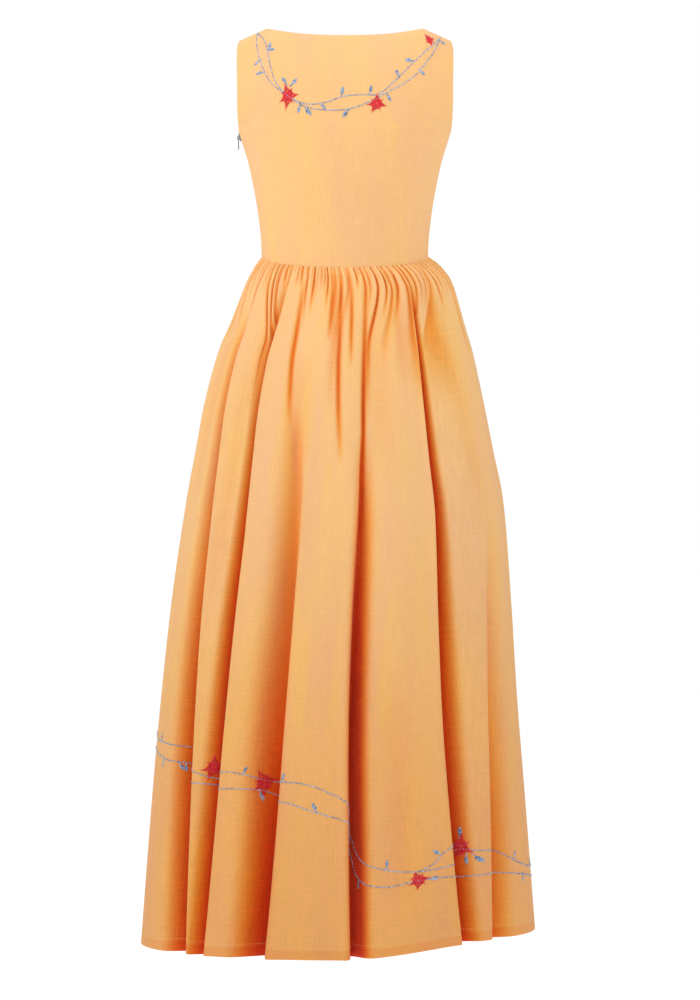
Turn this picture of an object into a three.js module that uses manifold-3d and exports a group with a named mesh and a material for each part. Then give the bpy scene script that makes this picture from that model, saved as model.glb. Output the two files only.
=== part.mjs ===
import * as THREE from "three";
import { mergeVertices } from "three/addons/utils/BufferGeometryUtils.js";
import Module from "manifold-3d";

const { clamp, degToRad, euclideanModulo, lerp, smoothstep } = THREE.MathUtils;
const wasm = await Module();
wasm.setup();

// A girls' sleeveless long dress, filled out as when it is worn. Millimetres, +Z up.
// The origin is midway between the shoulder seams. The back is at -Y and the front at +Y,
// so +X is on the right when the dress is seen from behind, and the side zip is at -X.

// Neck, shoulders and armholes
const neckHalfWidth = 97;
const neckCornerZ = 8.6;
const shoulderTipZ = -5.5;
const underarmZ = -112;
const armholeRise = 62; // height over which an armhole opens to its full width
const shoulderDropZ = -95; // below this level the bodice has its full depth
const neckShape = 2.4; // how flat the neckline runs before it turns up to its corners
const shoulderRound = 2.6; // power of the curve from the full depth up to a shoulder seam
const neckRound = 1.2; // and up to the middle of the neckline

// Waist and hem
const waistSideZ = -270;
const waistDip = 18.6; // the waist seam hangs this much lower at its middle
const hemZ = -1111.5;
const hemLift = 17.5; // the hem hangs this much higher at the +X side
const hemLiftEnd = 0.85; // share of the half width at which it has its full lift

// Cloth
const bodiceWall = 1.5;
const skirtWall = 1.4;
const seamGap = 0.3;

// Gathers under the waist seam
const gatherHeight = 1.5;
const gatherLength = 66;
const gatherRise = 14; // distance below the seam at which a gather is fullest
const gatherAtSeam = 0.6; // share of its height that a gather has at the seam
const gatherFades = 0.3; // share of its length after which a gather fades
const gatherUneven = {
  height: 0.2,
  length: 0.4,
  heightPitch: 1.9,
  lengthPitch: 2.7,
  drift: 1.3,
  driftPitch: 0.77,
};

// Sections of the bodice. Above the underarm the half width is that of the armhole's edge.
const bodiceSections = [
  { z: -270, halfWidth: 101.5, back: 78, front: 82 },
  { z: -249, halfWidth: 102.5, back: 79, front: 83.5 },
  { z: -225, halfWidth: 105, back: 81, front: 86 },
  { z: -200, halfWidth: 108.7, back: 84, front: 89.5 },
  { z: -175, halfWidth: 113.5, back: 87, front: 93 },
  { z: -151, halfWidth: 119, back: 89.5, front: 96 },
  { z: -126, halfWidth: 126.8, back: 91, front: 98 },
  { z: -112, halfWidth: 130.5, back: 91.5, front: 98 },
  { z: -60, halfWidth: 132.5, back: 88, front: 93 },
  { z: -18, halfWidth: 132, back: 84, front: 88 },
  { z: -5.5, halfWidth: 129.5, back: 83, front: 87 },
];

// Sections of the skirt by their distance below the waist seam.
const skirtSections = [
  { drop: 0, halfWidth: 101.5, centreX: 0 },
  { drop: 6, halfWidth: 108, centreX: 2 },
  { drop: 16, halfWidth: 116, centreX: 4 },
  { drop: 28, halfWidth: 123.5, centreX: 5 },
  { drop: 53, halfWidth: 133.2, centreX: 4.3 },
  { drop: 84, halfWidth: 144.3, centreX: 2.5 },
  { drop: 114, halfWidth: 155.3, centreX: 0.6 },
  { drop: 176, halfWidth: 170.7, centreX: -1 },
  { drop: 237, halfWidth: 182.4, centreX: -0.6 },
  { drop: 298, halfWidth: 194, centreX: 0 },
  { drop: 421, halfWidth: 208, centreX: -4.3 },
  { drop: 544, halfWidth: 218.6, centreX: -7.4 },
  { drop: 667, halfWidth: 229, centreX: -8 },
  { drop: 850, halfWidth: 243, centreX: -8 },
];
const backDepthShare = 0.77; // depth of the back half of a skirt section, over its half width
const frontDepthShare = 0.8;

const panels = {
  back: { side: -1, neckCentreZ: -3.9, neckDepth: 52, armholeShare: 0.5, scoop: 1 },
  front: { side: 1, neckCentreZ: -32, neckDepth: 60, armholeShare: 0.58, scoop: 8 },
};

// Folds of the skirt. waist, middle and hem are the angles of the fold's edge round the dress, in
// degrees from the -X side seam through the back. depth, width and lean are sizes at the hem, and
// narrow is the width near the waist. A fold with a positive lean hangs over the hollow before it,
// one with a negative lean over the hollow after it. start and end are distances below the seam.
const pastHem = 2000;
const folds = [
  { waist: 30, middle: 37, hem: 41.5, depth: 46, narrow: 5, width: 13, lean: 9, start: 60, end: pastHem },
  { waist: 53, middle: 52.7, hem: 48.3, depth: 30, narrow: 5, width: 8, lean: 14, start: 5, end: pastHem },
  { waist: 76, middle: 75, hem: 69, depth: 44, narrow: 8, width: 15, lean: 17, start: 170, end: pastHem },
  { waist: 86.5, middle: 86, hem: 83, depth: 8, narrow: 5, width: 6, lean: 3, start: 5, end: 200 },
  { waist: 94, middle: 92.5, hem: 93, depth: 36, narrow: 9, width: 8, lean: -9, start: 200, end: pastHem },
  { waist: 126, middle: 123.6, hem: 128.3, depth: 30, narrow: 5, width: 9, lean: -15, start: 5, end: pastHem },
  { waist: 150, middle: 146, hem: 139, depth: 17, narrow: 10, width: 13, lean: -12, start: 300, end: pastHem },
  { waist: 205, middle: 202, hem: 207, depth: 30, narrow: 5, width: 11, lean: 14, start: 60, end: pastHem },
  { waist: 228, middle: 232, hem: 229, depth: 32, narrow: 5, width: 10, lean: 19, start: 10, end: pastHem },
  { waist: 247, middle: 249, hem: 249, depth: 9, narrow: 5, width: 7, lean: 3, start: 10, end: 350 },
  { waist: 264, middle: 267, hem: 270, depth: 38, narrow: 8, width: 12, lean: -14, start: 130, end: pastHem },
  { waist: 283, middle: 284, hem: 286, depth: 8, narrow: 5, width: 6, lean: -3, start: 12, end: 250 },
  { waist: 302, middle: 305, hem: 302, depth: 30, narrow: 5, width: 9, lean: 17, start: 10, end: pastHem },
  { waist: 327, middle: 325, hem: 329, depth: 26, narrow: 5, width: 12, lean: -15, start: 60, end: pastHem },
];
const foldReach = 210; // distance over which a fold deepens
const foldFade = 200; // distance over which a short fold ends
const edgeOffset = 1.7; // a fold's edge lies this many widths from the middle of its hollow
const crestShare = 0.12; // how far a fold's edge stands proud, as a share of its depth
const foldWidens = { from: 60, to: 600 }; // distances below the seam between which a fold widens

// Mesh lines: fractions of the bodice's height, and distances below the waist seam
const bodiceRows = [
  0, 0.08, 0.17, 0.26, 0.35, 0.44, 0.52, 0.597, 0.625, 0.67, 0.735, 0.81, 0.88, 0.94, 0.975, 1,
];
const gatherRows = [0, 9, 20, 34, 52, 78];
const foldRows = [115, 170, 240, 320, 415, 515, 620, 730, 840];
const neckColumns = 16;
const shoulderColumns = 4;

// Mesh columns of the skirt: places across a fold, in widths from the middle of its hollow towards
// its edge. At the waist the columns are even, and by columnsSettled they follow the folds.
const foldStations = [-2.2, -1.2, -0.6, 0, 0.4, 0.85, 1.5, 2.2];
const shortFoldStations = [-1.8, -0.7, 0.7, 1.8];
const stationRoom = 0.9; // share of the way to the next hollow that a fold's columns may take
const columnsSettled = 100;
const widestColumn = 30;
const columnsPerGather = 3;

// A smooth curve through one column of a table whose key rises from row to row.
function along(table, key, column, at) {
  let i = 1;
  while (i < table.length - 1 && at > table[i][key]) i += 1;
  const a = table[i - 1];
  const b = table[i];
  const before = table[i - 2] ?? a;
  const after = table[i + 1] ?? b;
  const slope = (p, q) => (q[column] - p[column]) / (q[key] - p[key]);
  const span = b[key] - a[key];
  const t = clamp((at - a[key]) / span, 0, 1);
  const startStep = slope(before, b) * span;
  const endStep = slope(a, after) * span;
  return (
    a[column] * (1 - t) ** 2 * (1 + 2 * t) +
    b[column] * t ** 2 * (3 - 2 * t) +
    startStep * t * (1 - t) ** 2 -
    endStep * t ** 2 * (1 - t)
  );
}

// A curve through a at 0, b at one half and c at 1.
function bend(a, b, c, t) {
  return a * (2 * t - 1) * (t - 1) + 4 * b * t * (1 - t) + c * t * (2 * t - 1);
}

// Height of the waist seam. facing is 1 at the middle of the back or front, 0 at a side seam.
const waistZ = (facing) => waistSideZ - waistDip * facing;

// Top edge of a bodice panel: the shoulder seams and, between them, the neckline.
function topEdge(panel, x) {
  const share = Math.abs(x) / neckHalfWidth;
  if (share >= 1) {
    const tipShare = (Math.abs(x) - neckHalfWidth) / (bodiceSections.at(-1).halfWidth - neckHalfWidth);
    return { depth: 0, z: lerp(neckCornerZ, shoulderTipZ, tipShare) };
  }
  return {
    depth: panel.neckDepth * Math.sqrt(1 - share ** 2),
    z: lerp(panel.neckCentreZ, neckCornerZ, share ** neckShape),
  };
}

// Angle of a bodice panel's edge: a quarter turn at the side seam, less along the armhole.
function edgeAngle(panel, z) {
  const opened = clamp((z - underarmZ) / armholeRise, 0, 1);
  return Math.acos(panel.armholeShare * Math.sqrt(1 - (1 - opened) ** 2));
}

// Half width of a bodice panel at its edge. The armhole is scooped a little more in front.
function edgeHalfWidth(panel, z) {
  const opened = clamp((z - underarmZ) / (shoulderTipZ - underarmZ), 0, 1);
  return along(bodiceSections, "z", "halfWidth", z) - panel.scoop * Math.sin(Math.PI * opened) ** 2;
}

// Middle of the bodice's cloth. across runs from -1 to 1 and rise from the waist seam to the top.
function bodicePoint(name, across, rise) {
  const panel = panels[name];
  const edgeZ = lerp(waistSideZ, shoulderTipZ, rise);
  const widest = edgeAngle(panel, edgeZ);
  const angle = across * widest;
  const x = (edgeHalfWidth(panel, edgeZ) * Math.sin(angle)) / Math.sin(widest);
  const topAngle = edgeAngle(panel, shoulderTipZ);
  const topX = (edgeHalfWidth(panel, shoulderTipZ) * Math.sin(across * topAngle)) / Math.sin(topAngle);
  const top = topEdge(panel, topX);
  const z = lerp(waistZ(Math.cos(across * (Math.PI / 2))), top.z, rise);
  const full = along(bodiceSections, "z", name, edgeZ) * Math.cos(angle);
  const raised = clamp((z - shoulderDropZ) / (top.z - shoulderDropZ), 0, 1);
  const toCorner = clamp(Math.abs(topX) / neckHalfWidth, 0, 1) ** 3;
  const rounded = (1 - raised ** shoulderRound) ** (1 / lerp(neckRound, shoulderRound, toCorner));
  return new THREE.Vector3(x, panel.side * lerp(top.depth, full, rounded), z);
}

// Outward normal of the bodice's cloth.
function bodiceNormal(name, across, rise) {
  const step = 1e-3;
  const sideways = bodicePoint(name, Math.min(1, across + step), rise)
    .sub(bodicePoint(name, Math.max(-1, across - step), rise));
  const upwards = bodicePoint(name, across, Math.min(1, rise + step))
    .sub(bodicePoint(name, across, Math.max(0, rise - step)));
  return sideways.cross(upwards).multiplyScalar(-panels[name].side).normalize();
}

// A point on one face of a bodice panel's wall. Seam edges are cut back by half the gap.
function bodiceWallPoint(name, across, rise, outward) {
  const panel = panels[name];
  const middle = bodicePoint(name, across, rise);
  const point = middle.clone().addScaledVector(bodiceNormal(name, across, rise), outward);
  const atShoulder = rise === 1 && Math.abs(middle.x) > neckHalfWidth - seamGap;
  const belowUnderarm = Math.abs(across) === 1 && lerp(waistSideZ, shoulderTipZ, rise) <= underarmZ;
  if (atShoulder || belowUnderarm) point.y = (panel.side * seamGap) / 2;
  if (rise === 0) point.z = middle.z + seamGap / 2;
  return point;
}

// Columns of the bodice: even steps to the neck's corners, and even steps on along the shoulders.
function bodiceColumns(panel) {
  const topAngle = edgeAngle(panel, shoulderTipZ);
  const tipX = edgeHalfWidth(panel, shoulderTipZ);
  const corner = Math.asin((neckHalfWidth / tipX) * Math.sin(topAngle)) / topAngle;
  const shoulder = Array.from({ length: shoulderColumns }, (_, i) => lerp(1, corner, i / shoulderColumns));
  const neck = Array.from({ length: neckColumns + 1 }, (_, i) => lerp(-corner, corner, i / neckColumns));
  return [...shoulder.map((across) => -across), ...neck, ...shoulder.toReversed()];
}

// Half sizes of a skirt section, in the back half or the front half, and its centre.
function sectionAt(angle, drop) {
  const halfWidth = along(skirtSections, "drop", "halfWidth", drop);
  const depth = halfWidth * (Math.sin(angle) > 0 ? backDepthShare : frontDepthShare);
  return { halfWidth, depth, centreX: along(skirtSections, "drop", "centreX", drop) };
}

// The way round a section at an angle, as long as one radian measures there.
function wayRound(section, angle) {
  return new THREE.Vector2(section.halfWidth * Math.sin(angle), -section.depth * Math.cos(angle));
}

// A fold's sizes at a distance below the seam, and the angle of the middle of its hollow.
function foldAt(row, drop) {
  const grown = 1 - Math.exp(-Math.max(0, drop - row.start) / foldReach);
  const left = 1 - smoothstep(drop, row.end - foldFade, row.end);
  const width = lerp(row.narrow, row.width, smoothstep(drop, foldWidens.from, foldWidens.to));
  const edge = degToRad(bend(row.waist, row.middle, row.hem, drop / foldRows.at(-1)));
  const turnWidth = width / wayRound(sectionAt(edge, drop), edge).length();
  return {
    turnWidth,
    side: Math.sign(row.lean),
    depth: row.depth * grown * left,
    lean: row.lean * grown * left,
    angle: edge - Math.sign(row.lean) * edgeOffset * turnWidth,
  };
}

// A section of the skirt at an angle round the dress, without its gathers: a point, in plan.
function foldedPlan(angle, drop) {
  const section = sectionAt(angle, drop);
  const tangent = wayRound(section, angle).normalize();
  const outward = new THREE.Vector2(tangent.y, -tangent.x);
  const plan = new THREE.Vector2(
    section.centreX - section.halfWidth * Math.cos(angle),
    -section.depth * Math.sin(angle),
  );
  for (const row of folds) {
    const fold = foldAt(row, drop);
    const turn = euclideanModulo(angle - fold.angle + Math.PI, 2 * Math.PI) - Math.PI;
    const away = turn / fold.turnWidth;
    const hollow = Math.exp(-(away ** 2));
    const crest = Math.exp(-((away - fold.side * edgeOffset) ** 2));
    plan.addScaledVector(outward, fold.depth * (crestShare * crest - hollow));
    plan.addScaledVector(tangent, fold.lean * hollow);
  }
  return plan;
}

// How far a gather stands out. place counts gathers along the panel, so whole numbers are crests.
function gatherAt(place, drop) {
  const uneven = gatherUneven;
  const drift = uneven.drift * Math.sin(uneven.driftPitch * place);
  const wave = Math.sin(uneven.heightPitch * place + drift);
  const height = gatherHeight * (1 - uneven.height + uneven.height * wave);
  const length = gatherLength * (1 + uneven.length * Math.sin(uneven.lengthPitch * place));
  const swell = lerp(gatherAtSeam, 1, smoothstep(drop, 0, gatherRise));
  const left = 1 - smoothstep(drop, gatherFades * length, length);
  return height * swell * left * Math.cos(2 * Math.PI * place);
}

// Angles of a panel's knots: its two side seams and the places across each of its folds.
function knotAngles(name, drop) {
  const from = name === "back" ? 0 : Math.PI;
  const rows = folds.filter((row) => degToRad(row.middle) > from && degToRad(row.middle) < from + Math.PI);
  const hollows = rows.map((row) => foldAt(row, drop));
  const knots = hollows.flatMap((hollow, i) => {
    const stations = rows[i].end < pastHem ? shortFoldStations : foldStations;
    const roomBefore = i ? (hollow.angle - hollows[i - 1].angle) / 2 : hollow.angle - from;
    const roomAfter = i < rows.length - 1
      ? (hollows[i + 1].angle - hollow.angle) / 2
      : from + Math.PI - hollow.angle;
    const reach = foldStations.at(-1) * hollow.turnWidth;
    return stations
      .map((station) => station * hollow.side * hollow.turnWidth)
      .map((turn) => turn * Math.min(1, (stationRoom * (turn < 0 ? roomBefore : roomAfter)) / reach))
      .map((turn) => hollow.angle + turn)
      .sort((a, b) => a - b);
  });
  return [from, ...knots, from + Math.PI];
}

// How many columns lie between each two knots, so that none is wider than widestColumn at the hem.
function columnCounts(name) {
  const knots = knotAngles(name, foldRows.at(-1));
  return knots.slice(1).map((knot, i) =>
    Math.ceil(((knot - knots[i]) * skirtSections.at(-1).halfWidth) / widestColumn));
}
const counts = { back: columnCounts("back"), front: columnCounts("front") };

// Angles of a panel's columns at a distance below the seam, two for each column of the lower skirt.
function columnAngles(name, drop) {
  const knots = knotAngles(name, drop);
  const placed = counts[name].flatMap((count, i) =>
    Array.from({ length: 2 * count }, (_, k) => lerp(knots[i], knots[i + 1], k / (2 * count))));
  placed.push(knots.at(-1));
  const settled = smoothstep(drop, 0, columnsSettled);
  const last = placed.length - 1;
  const cut = seamGap / 2 / along(skirtSections, "drop", "halfWidth", drop);
  return placed.map((angle, k) =>
    clamp(lerp(lerp(knots[0], knots.at(-1), k / last), angle, settled), knots[0] + cut, knots.at(-1) - cut));
}

// Height of the hem at an angle round the dress.
const hemHeight = (angle) => hemZ + hemLift * smoothstep(-Math.cos(angle), 0, hemLiftEnd);

// A point on one face of a skirt panel's wall. fall runs from 0 at the waist seam to 1 at the hem.
function skirtWallPoint(angle, place, fall, outward) {
  const top = waistZ(Math.abs(Math.sin(angle)));
  const z = lerp(top - seamGap / 2, hemHeight(angle), fall);
  const drop = top - z;
  const step = 1e-3;
  const ahead = foldedPlan(angle + step, drop).sub(foldedPlan(angle - step, drop)).normalize();
  const normal = new THREE.Vector2(ahead.y, -ahead.x);
  const plan = foldedPlan(angle, drop).addScaledVector(normal, gatherAt(place, drop) + outward);
  return new THREE.Vector3(plan.x, plan.y, z);
}

// A closed wall from rows of points on its two faces. Each row of a face has as many points as the
// row before it, or every other one of its columns.
function closedWall(outerRows, innerRows) {
  const points = [];
  const triangles = [];
  const numbered = (rows) => rows.map((row) => row.map((point) => points.push(point) - 1));
  const outer = numbered(outerRows);
  const inner = numbered(innerRows);
  const quad = (a, b, c, d) => triangles.push([a, b, c], [a, c, d]);
  const strip = (upper, lower, flip) => {
    const ratio = (upper.length - 1) / (lower.length - 1);
    const add = (...triangle) => triangles.push(flip ? triangle.reverse() : triangle);
    for (let j = 0; j < lower.length - 1; j += 1) {
      const middle = upper[j * ratio + 1];
      add(upper[j * ratio], lower[j], middle);
      add(middle, lower[j], lower[j + 1]);
      if (ratio === 2) add(middle, lower[j + 1], upper[j * ratio + 2]);
    }
  };
  for (let i = 0; i < outer.length - 1; i += 1) {
    strip(outer[i], outer[i + 1], false);
    strip(inner[i], inner[i + 1], true);
    quad(outer[i][0], inner[i][0], inner[i + 1][0], outer[i + 1][0]);
    quad(inner[i].at(-1), outer[i].at(-1), outer[i + 1].at(-1), inner[i + 1].at(-1));
  }
  for (let j = 0; j < outer[0].length - 1; j += 1) {
    quad(outer[0][j], outer[0][j + 1], inner[0][j + 1], inner[0][j]);
  }
  for (let j = 0; j < outer.at(-1).length - 1; j += 1) {
    quad(outer.at(-1)[j + 1], outer.at(-1)[j], inner.at(-1)[j], inner.at(-1)[j + 1]);
  }
  const geometry = new THREE.BufferGeometry().setFromPoints(points);
  geometry.setIndex(triangles.flat());
  return geometry;
}

// A bodice panel, from its top edge down to the waist seam.
function bodicePanel(name) {
  const panel = panels[name];
  const columns = bodiceColumns(panel).map((across) => -panel.side * across);
  const face = (outward) =>
    bodiceRows.toReversed().map((rise) =>
      columns.map((across) => bodiceWallPoint(name, across, rise, outward)));
  return closedWall(face(bodiceWall / 2), face(-bodiceWall / 2));
}

// A skirt panel, from the waist seam down to the hem, cut back by half the gap at its side seams.
function skirtPanel(name) {
  const row = (drop, every, outward) =>
    columnAngles(name, drop).flatMap((angle, k) => {
      if (k % every) return [];
      return [skirtWallPoint(angle, k / columnsPerGather, drop / foldRows.at(-1), outward)];
    });
  const face = (outward) => [
    ...gatherRows.map((drop) => row(drop, 1, outward)),
    ...foldRows.map((drop) => row(drop, 2, outward)),
  ];
  return closedWall(face(skirtWall / 2), face(-skirtWall / 2));
}

// Side zip: its slider lies on the -X side seam just under the armhole, and the pull tab hangs
// from the slider's crown. In the slider's own frame -X is outwards and +Z runs up the seam.
const zip = {
  z: -123,
  plateLength: 9,
  plateWidth: 5,
  plateThickness: 1.2,
  plateTaper: 0.7, // width of the plate's lower end over that of its upper end
  plateRound: 1, // height of its rounded ends
  crownWidth: 1.6,
  crownWall: 0.7,
  crownReach: 1.9, // clear height under the crown
  crownLength: 2.6, // clear length under the crown
  pullLength: 15,
  pullHalfWidth: 2.5,
  pullThickness: 0.9,
  eyeHalfWidth: 1.3,
  eyeLength: 2.6,
  barHeight: 1,
  neckHalfWidth: 1.6, // the pull tab narrows below its eye
  neckFrom: 4,
  neckAt: 6,
  neckTo: 8,
  tipRound: 2,
};

// Lays a shape drawn in plan on the upright plane of Y and Z, with its thickness along X.
function uprightPlate(shape, thickness) {
  const plate = new THREE.ExtrudeGeometry(shape, { depth: thickness, bevelEnabled: false, curveSegments: 8 });
  const turn = new THREE.Matrix4().makeBasis(
    new THREE.Vector3(0, 1, 0),
    new THREE.Vector3(0, 0, 1),
    new THREE.Vector3(1, 0, 0),
  );
  return plate.applyMatrix4(turn).translate(-thickness / 2, 0, 0);
}

function solidFrom(geometry) {
  geometry.deleteAttribute("normal");
  geometry.deleteAttribute("uv");
  const merged = mergeVertices(geometry);
  const vertProperties = merged.attributes.position.array;
  const triVerts = new Uint32Array(merged.index.array);
  return new wasm.Manifold(new wasm.Mesh({ numProp: 3, vertProperties, triVerts }));
}

function joined(first, second) {
  const mesh = solidFrom(first).add(solidFrom(second)).getMesh();
  const geometry = new THREE.BufferGeometry();
  geometry.setAttribute("position", new THREE.BufferAttribute(mesh.vertProperties, 3));
  geometry.setIndex(new THREE.BufferAttribute(mesh.triVerts, 1));
  return geometry;
}

// The slider's plate, its back on the plane X = plateThickness, with the crown's arch on its face.
function sliderShape() {
  const half = zip.plateWidth / 2;
  const low = half * zip.plateTaper;
  const straight = zip.plateLength / 2 - zip.plateRound / 2;
  const outline = new THREE.Shape();
  outline.moveTo(-half, straight);
  outline.lineTo(-low, -straight);
  outline.quadraticCurveTo(0, -straight - 2 * zip.plateRound, low, -straight);
  outline.lineTo(half, straight);
  outline.quadraticCurveTo(0, straight + 2 * zip.plateRound, -half, straight);
  const plate = uprightPlate(outline, zip.plateThickness).translate(zip.plateThickness / 2, 0, 0);
  const foot = zip.crownLength / 2;
  const outer = foot + zip.crownWall;
  const sunk = zip.plateThickness / 2;
  const top = zip.crownReach + zip.crownWall;
  const arch = new THREE.Shape([
    new THREE.Vector2(-sunk, -outer),
    new THREE.Vector2(zip.crownReach, -outer),
    new THREE.Vector2(top, -foot),
    new THREE.Vector2(top, foot),
    new THREE.Vector2(zip.crownReach, outer),
    new THREE.Vector2(-sunk, outer),
    new THREE.Vector2(-sunk, foot),
    new THREE.Vector2(zip.crownReach, foot),
    new THREE.Vector2(zip.crownReach, -foot),
    new THREE.Vector2(-sunk, -foot),
  ]);
  const crown = new THREE.ExtrudeGeometry(arch, { depth: zip.crownWidth, bevelEnabled: false });
  crown.translate(0, 0, -zip.crownWidth / 2);
  crown.applyMatrix4(
    new THREE.Matrix4().makeBasis(
      new THREE.Vector3(-1, 0, 0),
      new THREE.Vector3(0, 0, 1),
      new THREE.Vector3(0, 1, 0),
    ),
  );
  return joined(plate, crown);
}

// The pull tab, hanging, with the middle of its eye's bar at the origin.
function pullShape() {
  const half = zip.pullHalfWidth;
  const top = zip.barHeight / 2;
  const end = top - zip.pullLength;
  const outline = new THREE.Shape();
  outline.moveTo(-half, top);
  outline.lineTo(-half, -zip.neckFrom);
  outline.quadraticCurveTo(-zip.neckHalfWidth, -zip.neckAt, -zip.neckHalfWidth, -zip.neckTo);
  outline.lineTo(-half, end + zip.tipRound);
  outline.quadraticCurveTo(-half, end, 0, end);
  outline.quadraticCurveTo(half, end, half, end + zip.tipRound);
  outline.lineTo(zip.neckHalfWidth, -zip.neckTo);
  outline.quadraticCurveTo(zip.neckHalfWidth, -zip.neckAt, half, -zip.neckFrom);
  outline.lineTo(half, top);
  outline.holes.push(
    new THREE.Path([
      new THREE.Vector2(-zip.eyeHalfWidth, -top),
      new THREE.Vector2(zip.eyeHalfWidth, -top),
      new THREE.Vector2(zip.eyeHalfWidth, -top - zip.eyeLength),
      new THREE.Vector2(-zip.eyeHalfWidth, -top - zip.eyeLength),
    ]),
  );
  return uprightPlate(outline, zip.pullThickness);
}

const cloth = new THREE.MeshStandardMaterial({ color: "#f3b878", roughness: 0.85, metalness: 0 });
const zipMetal = new THREE.MeshStandardMaterial({ color: "#4b423d", roughness: 0.45, metalness: 0.6 });

function named(name, geometry, material) {
  const mesh = new THREE.Mesh(geometry, material);
  mesh.name = name;
  return mesh;
}

// The seam leans outwards as it rises, so the slider leans with it and the pull tab hangs plumb.
function zipPieces() {
  const width = (z) => along(bodiceSections, "z", "halfWidth", z);
  const reach = zip.plateLength / 2;
  const lean = Math.atan((width(zip.z + reach) - width(zip.z - reach)) / zip.plateLength);
  const slider = named("zip_slider", sliderShape(), zipMetal);
  const carrier = new THREE.Group();
  carrier.add(slider);
  carrier.rotation.y = -lean;
  carrier.position.set(-width(zip.z), 0, zip.z);
  carrier.updateMatrixWorld(true);
  const offCloth = bodiceWall / 2 + seamGap + zip.plateThickness;
  slider.position.x = -offCloth;
  const pull = named("zip_pull", pullShape(), zipMetal);
  pull.position.copy(carrier.localToWorld(new THREE.Vector3(-offCloth - zip.crownReach / 2, 0, 0)));
  return [carrier, pull];
}

const dress = new THREE.Group();
for (const name of Object.keys(panels)) {
  dress.add(named(`bodice_${name}`, bodicePanel(name), cloth));
  dress.add(named(`skirt_${name}`, skirtPanel(name), cloth));
}
dress.add(...zipPieces());

export default dress;
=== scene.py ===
# %% [markdown]
# # A girls' long dress
# The dress has four cotton panels: a fitted bodice back and front, and a long skirt back and front
# that are gathered into the waist seam. It is filled out as when it is worn, so each panel is a
# thin curved wall. The panels' shapes follow a rule, sections with folds added to them, so they
# are worked out in code on a fine grid. A cloth simulation could drape them too, but it would not
# put each fold where this dress has it.

# %% Load the frame
import math

import bpy
import numpy as np
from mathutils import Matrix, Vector


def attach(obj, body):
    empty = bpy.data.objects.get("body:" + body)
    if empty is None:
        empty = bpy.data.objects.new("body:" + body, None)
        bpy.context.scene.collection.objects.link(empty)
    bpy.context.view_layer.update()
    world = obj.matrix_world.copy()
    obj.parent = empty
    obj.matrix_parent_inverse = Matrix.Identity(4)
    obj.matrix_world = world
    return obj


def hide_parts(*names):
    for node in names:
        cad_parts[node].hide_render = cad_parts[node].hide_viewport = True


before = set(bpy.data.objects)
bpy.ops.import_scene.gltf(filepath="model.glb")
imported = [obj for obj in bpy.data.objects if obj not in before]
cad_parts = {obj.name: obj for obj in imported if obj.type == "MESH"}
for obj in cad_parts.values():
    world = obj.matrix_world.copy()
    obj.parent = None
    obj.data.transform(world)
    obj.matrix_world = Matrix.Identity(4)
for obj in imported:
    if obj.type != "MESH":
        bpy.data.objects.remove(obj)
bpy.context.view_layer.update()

MM = 0.001

# %% [markdown]
# ## The camera
# The dress was photographed from behind, level with the middle of the skirt and from far off, so
# its sides hardly converge. A long lens far away gives the same flat perspective. The picture is
# 1000 pixels high, and a pixel covers 1.228 mm at the dress.

# %% Camera
MM_PER_PIXEL = 1.228
IMAGE_HEIGHT = 1000
CAMERA_DISTANCE = 4666
CAMERA_X = 6
CAMERA_Z = -568.6
SEES_AS_FAR_AS = 100  # metres


def new_object(name, data):
    """A new object in the scene, at the origin."""
    made = bpy.data.objects.new(name, data)
    bpy.context.scene.collection.objects.link(made)
    return made


camera_data = bpy.data.cameras.new("camera")
camera = new_object("camera", camera_data)
bpy.context.scene.camera = camera
camera.location = (CAMERA_X * MM, -CAMERA_DISTANCE * MM, CAMERA_Z * MM)
camera.rotation_euler = (math.radians(90), 0, 0)
camera_data.lens = camera_data.sensor_width * CAMERA_DISTANCE / (IMAGE_HEIGHT * MM_PER_PIXEL)
camera_data.clip_end = SEES_AS_FAR_AS
print("lens", round(camera_data.lens, 1), "mm")

# %% [markdown]
# ## Materials from nodes
# Every material here is a Principled shader with a few nodes before it. Adding a node, setting its
# sockets and joining it up takes several calls each time, so small helpers do it in one. They serve
# the Geometry Nodes trees further down as well. A colour is easiest to choose as a screen shows it,
# and the shader needs it as an amount of light, so it is converted.

# %% Helpers for nodes


class Nodes:
    """Short calls for adding nodes to a tree. A value is a number, a colour or a node's output."""

    def __init__(self, tree):
        self.tree = tree

    def add(self, kind, values=(), **settings):
        node = self.tree.nodes.new(kind)
        for key, value in settings.items():
            setattr(node, key, value)
        self.fill(node, dict(values))
        return node

    def fill(self, node, values):
        for key, value in values.items():
            self.set(node.inputs[key], value)

    def set(self, socket, value):
        if isinstance(value, bpy.types.NodeSocket):
            self.tree.links.new(value, socket)
        else:
            socket.default_value = value


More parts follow.
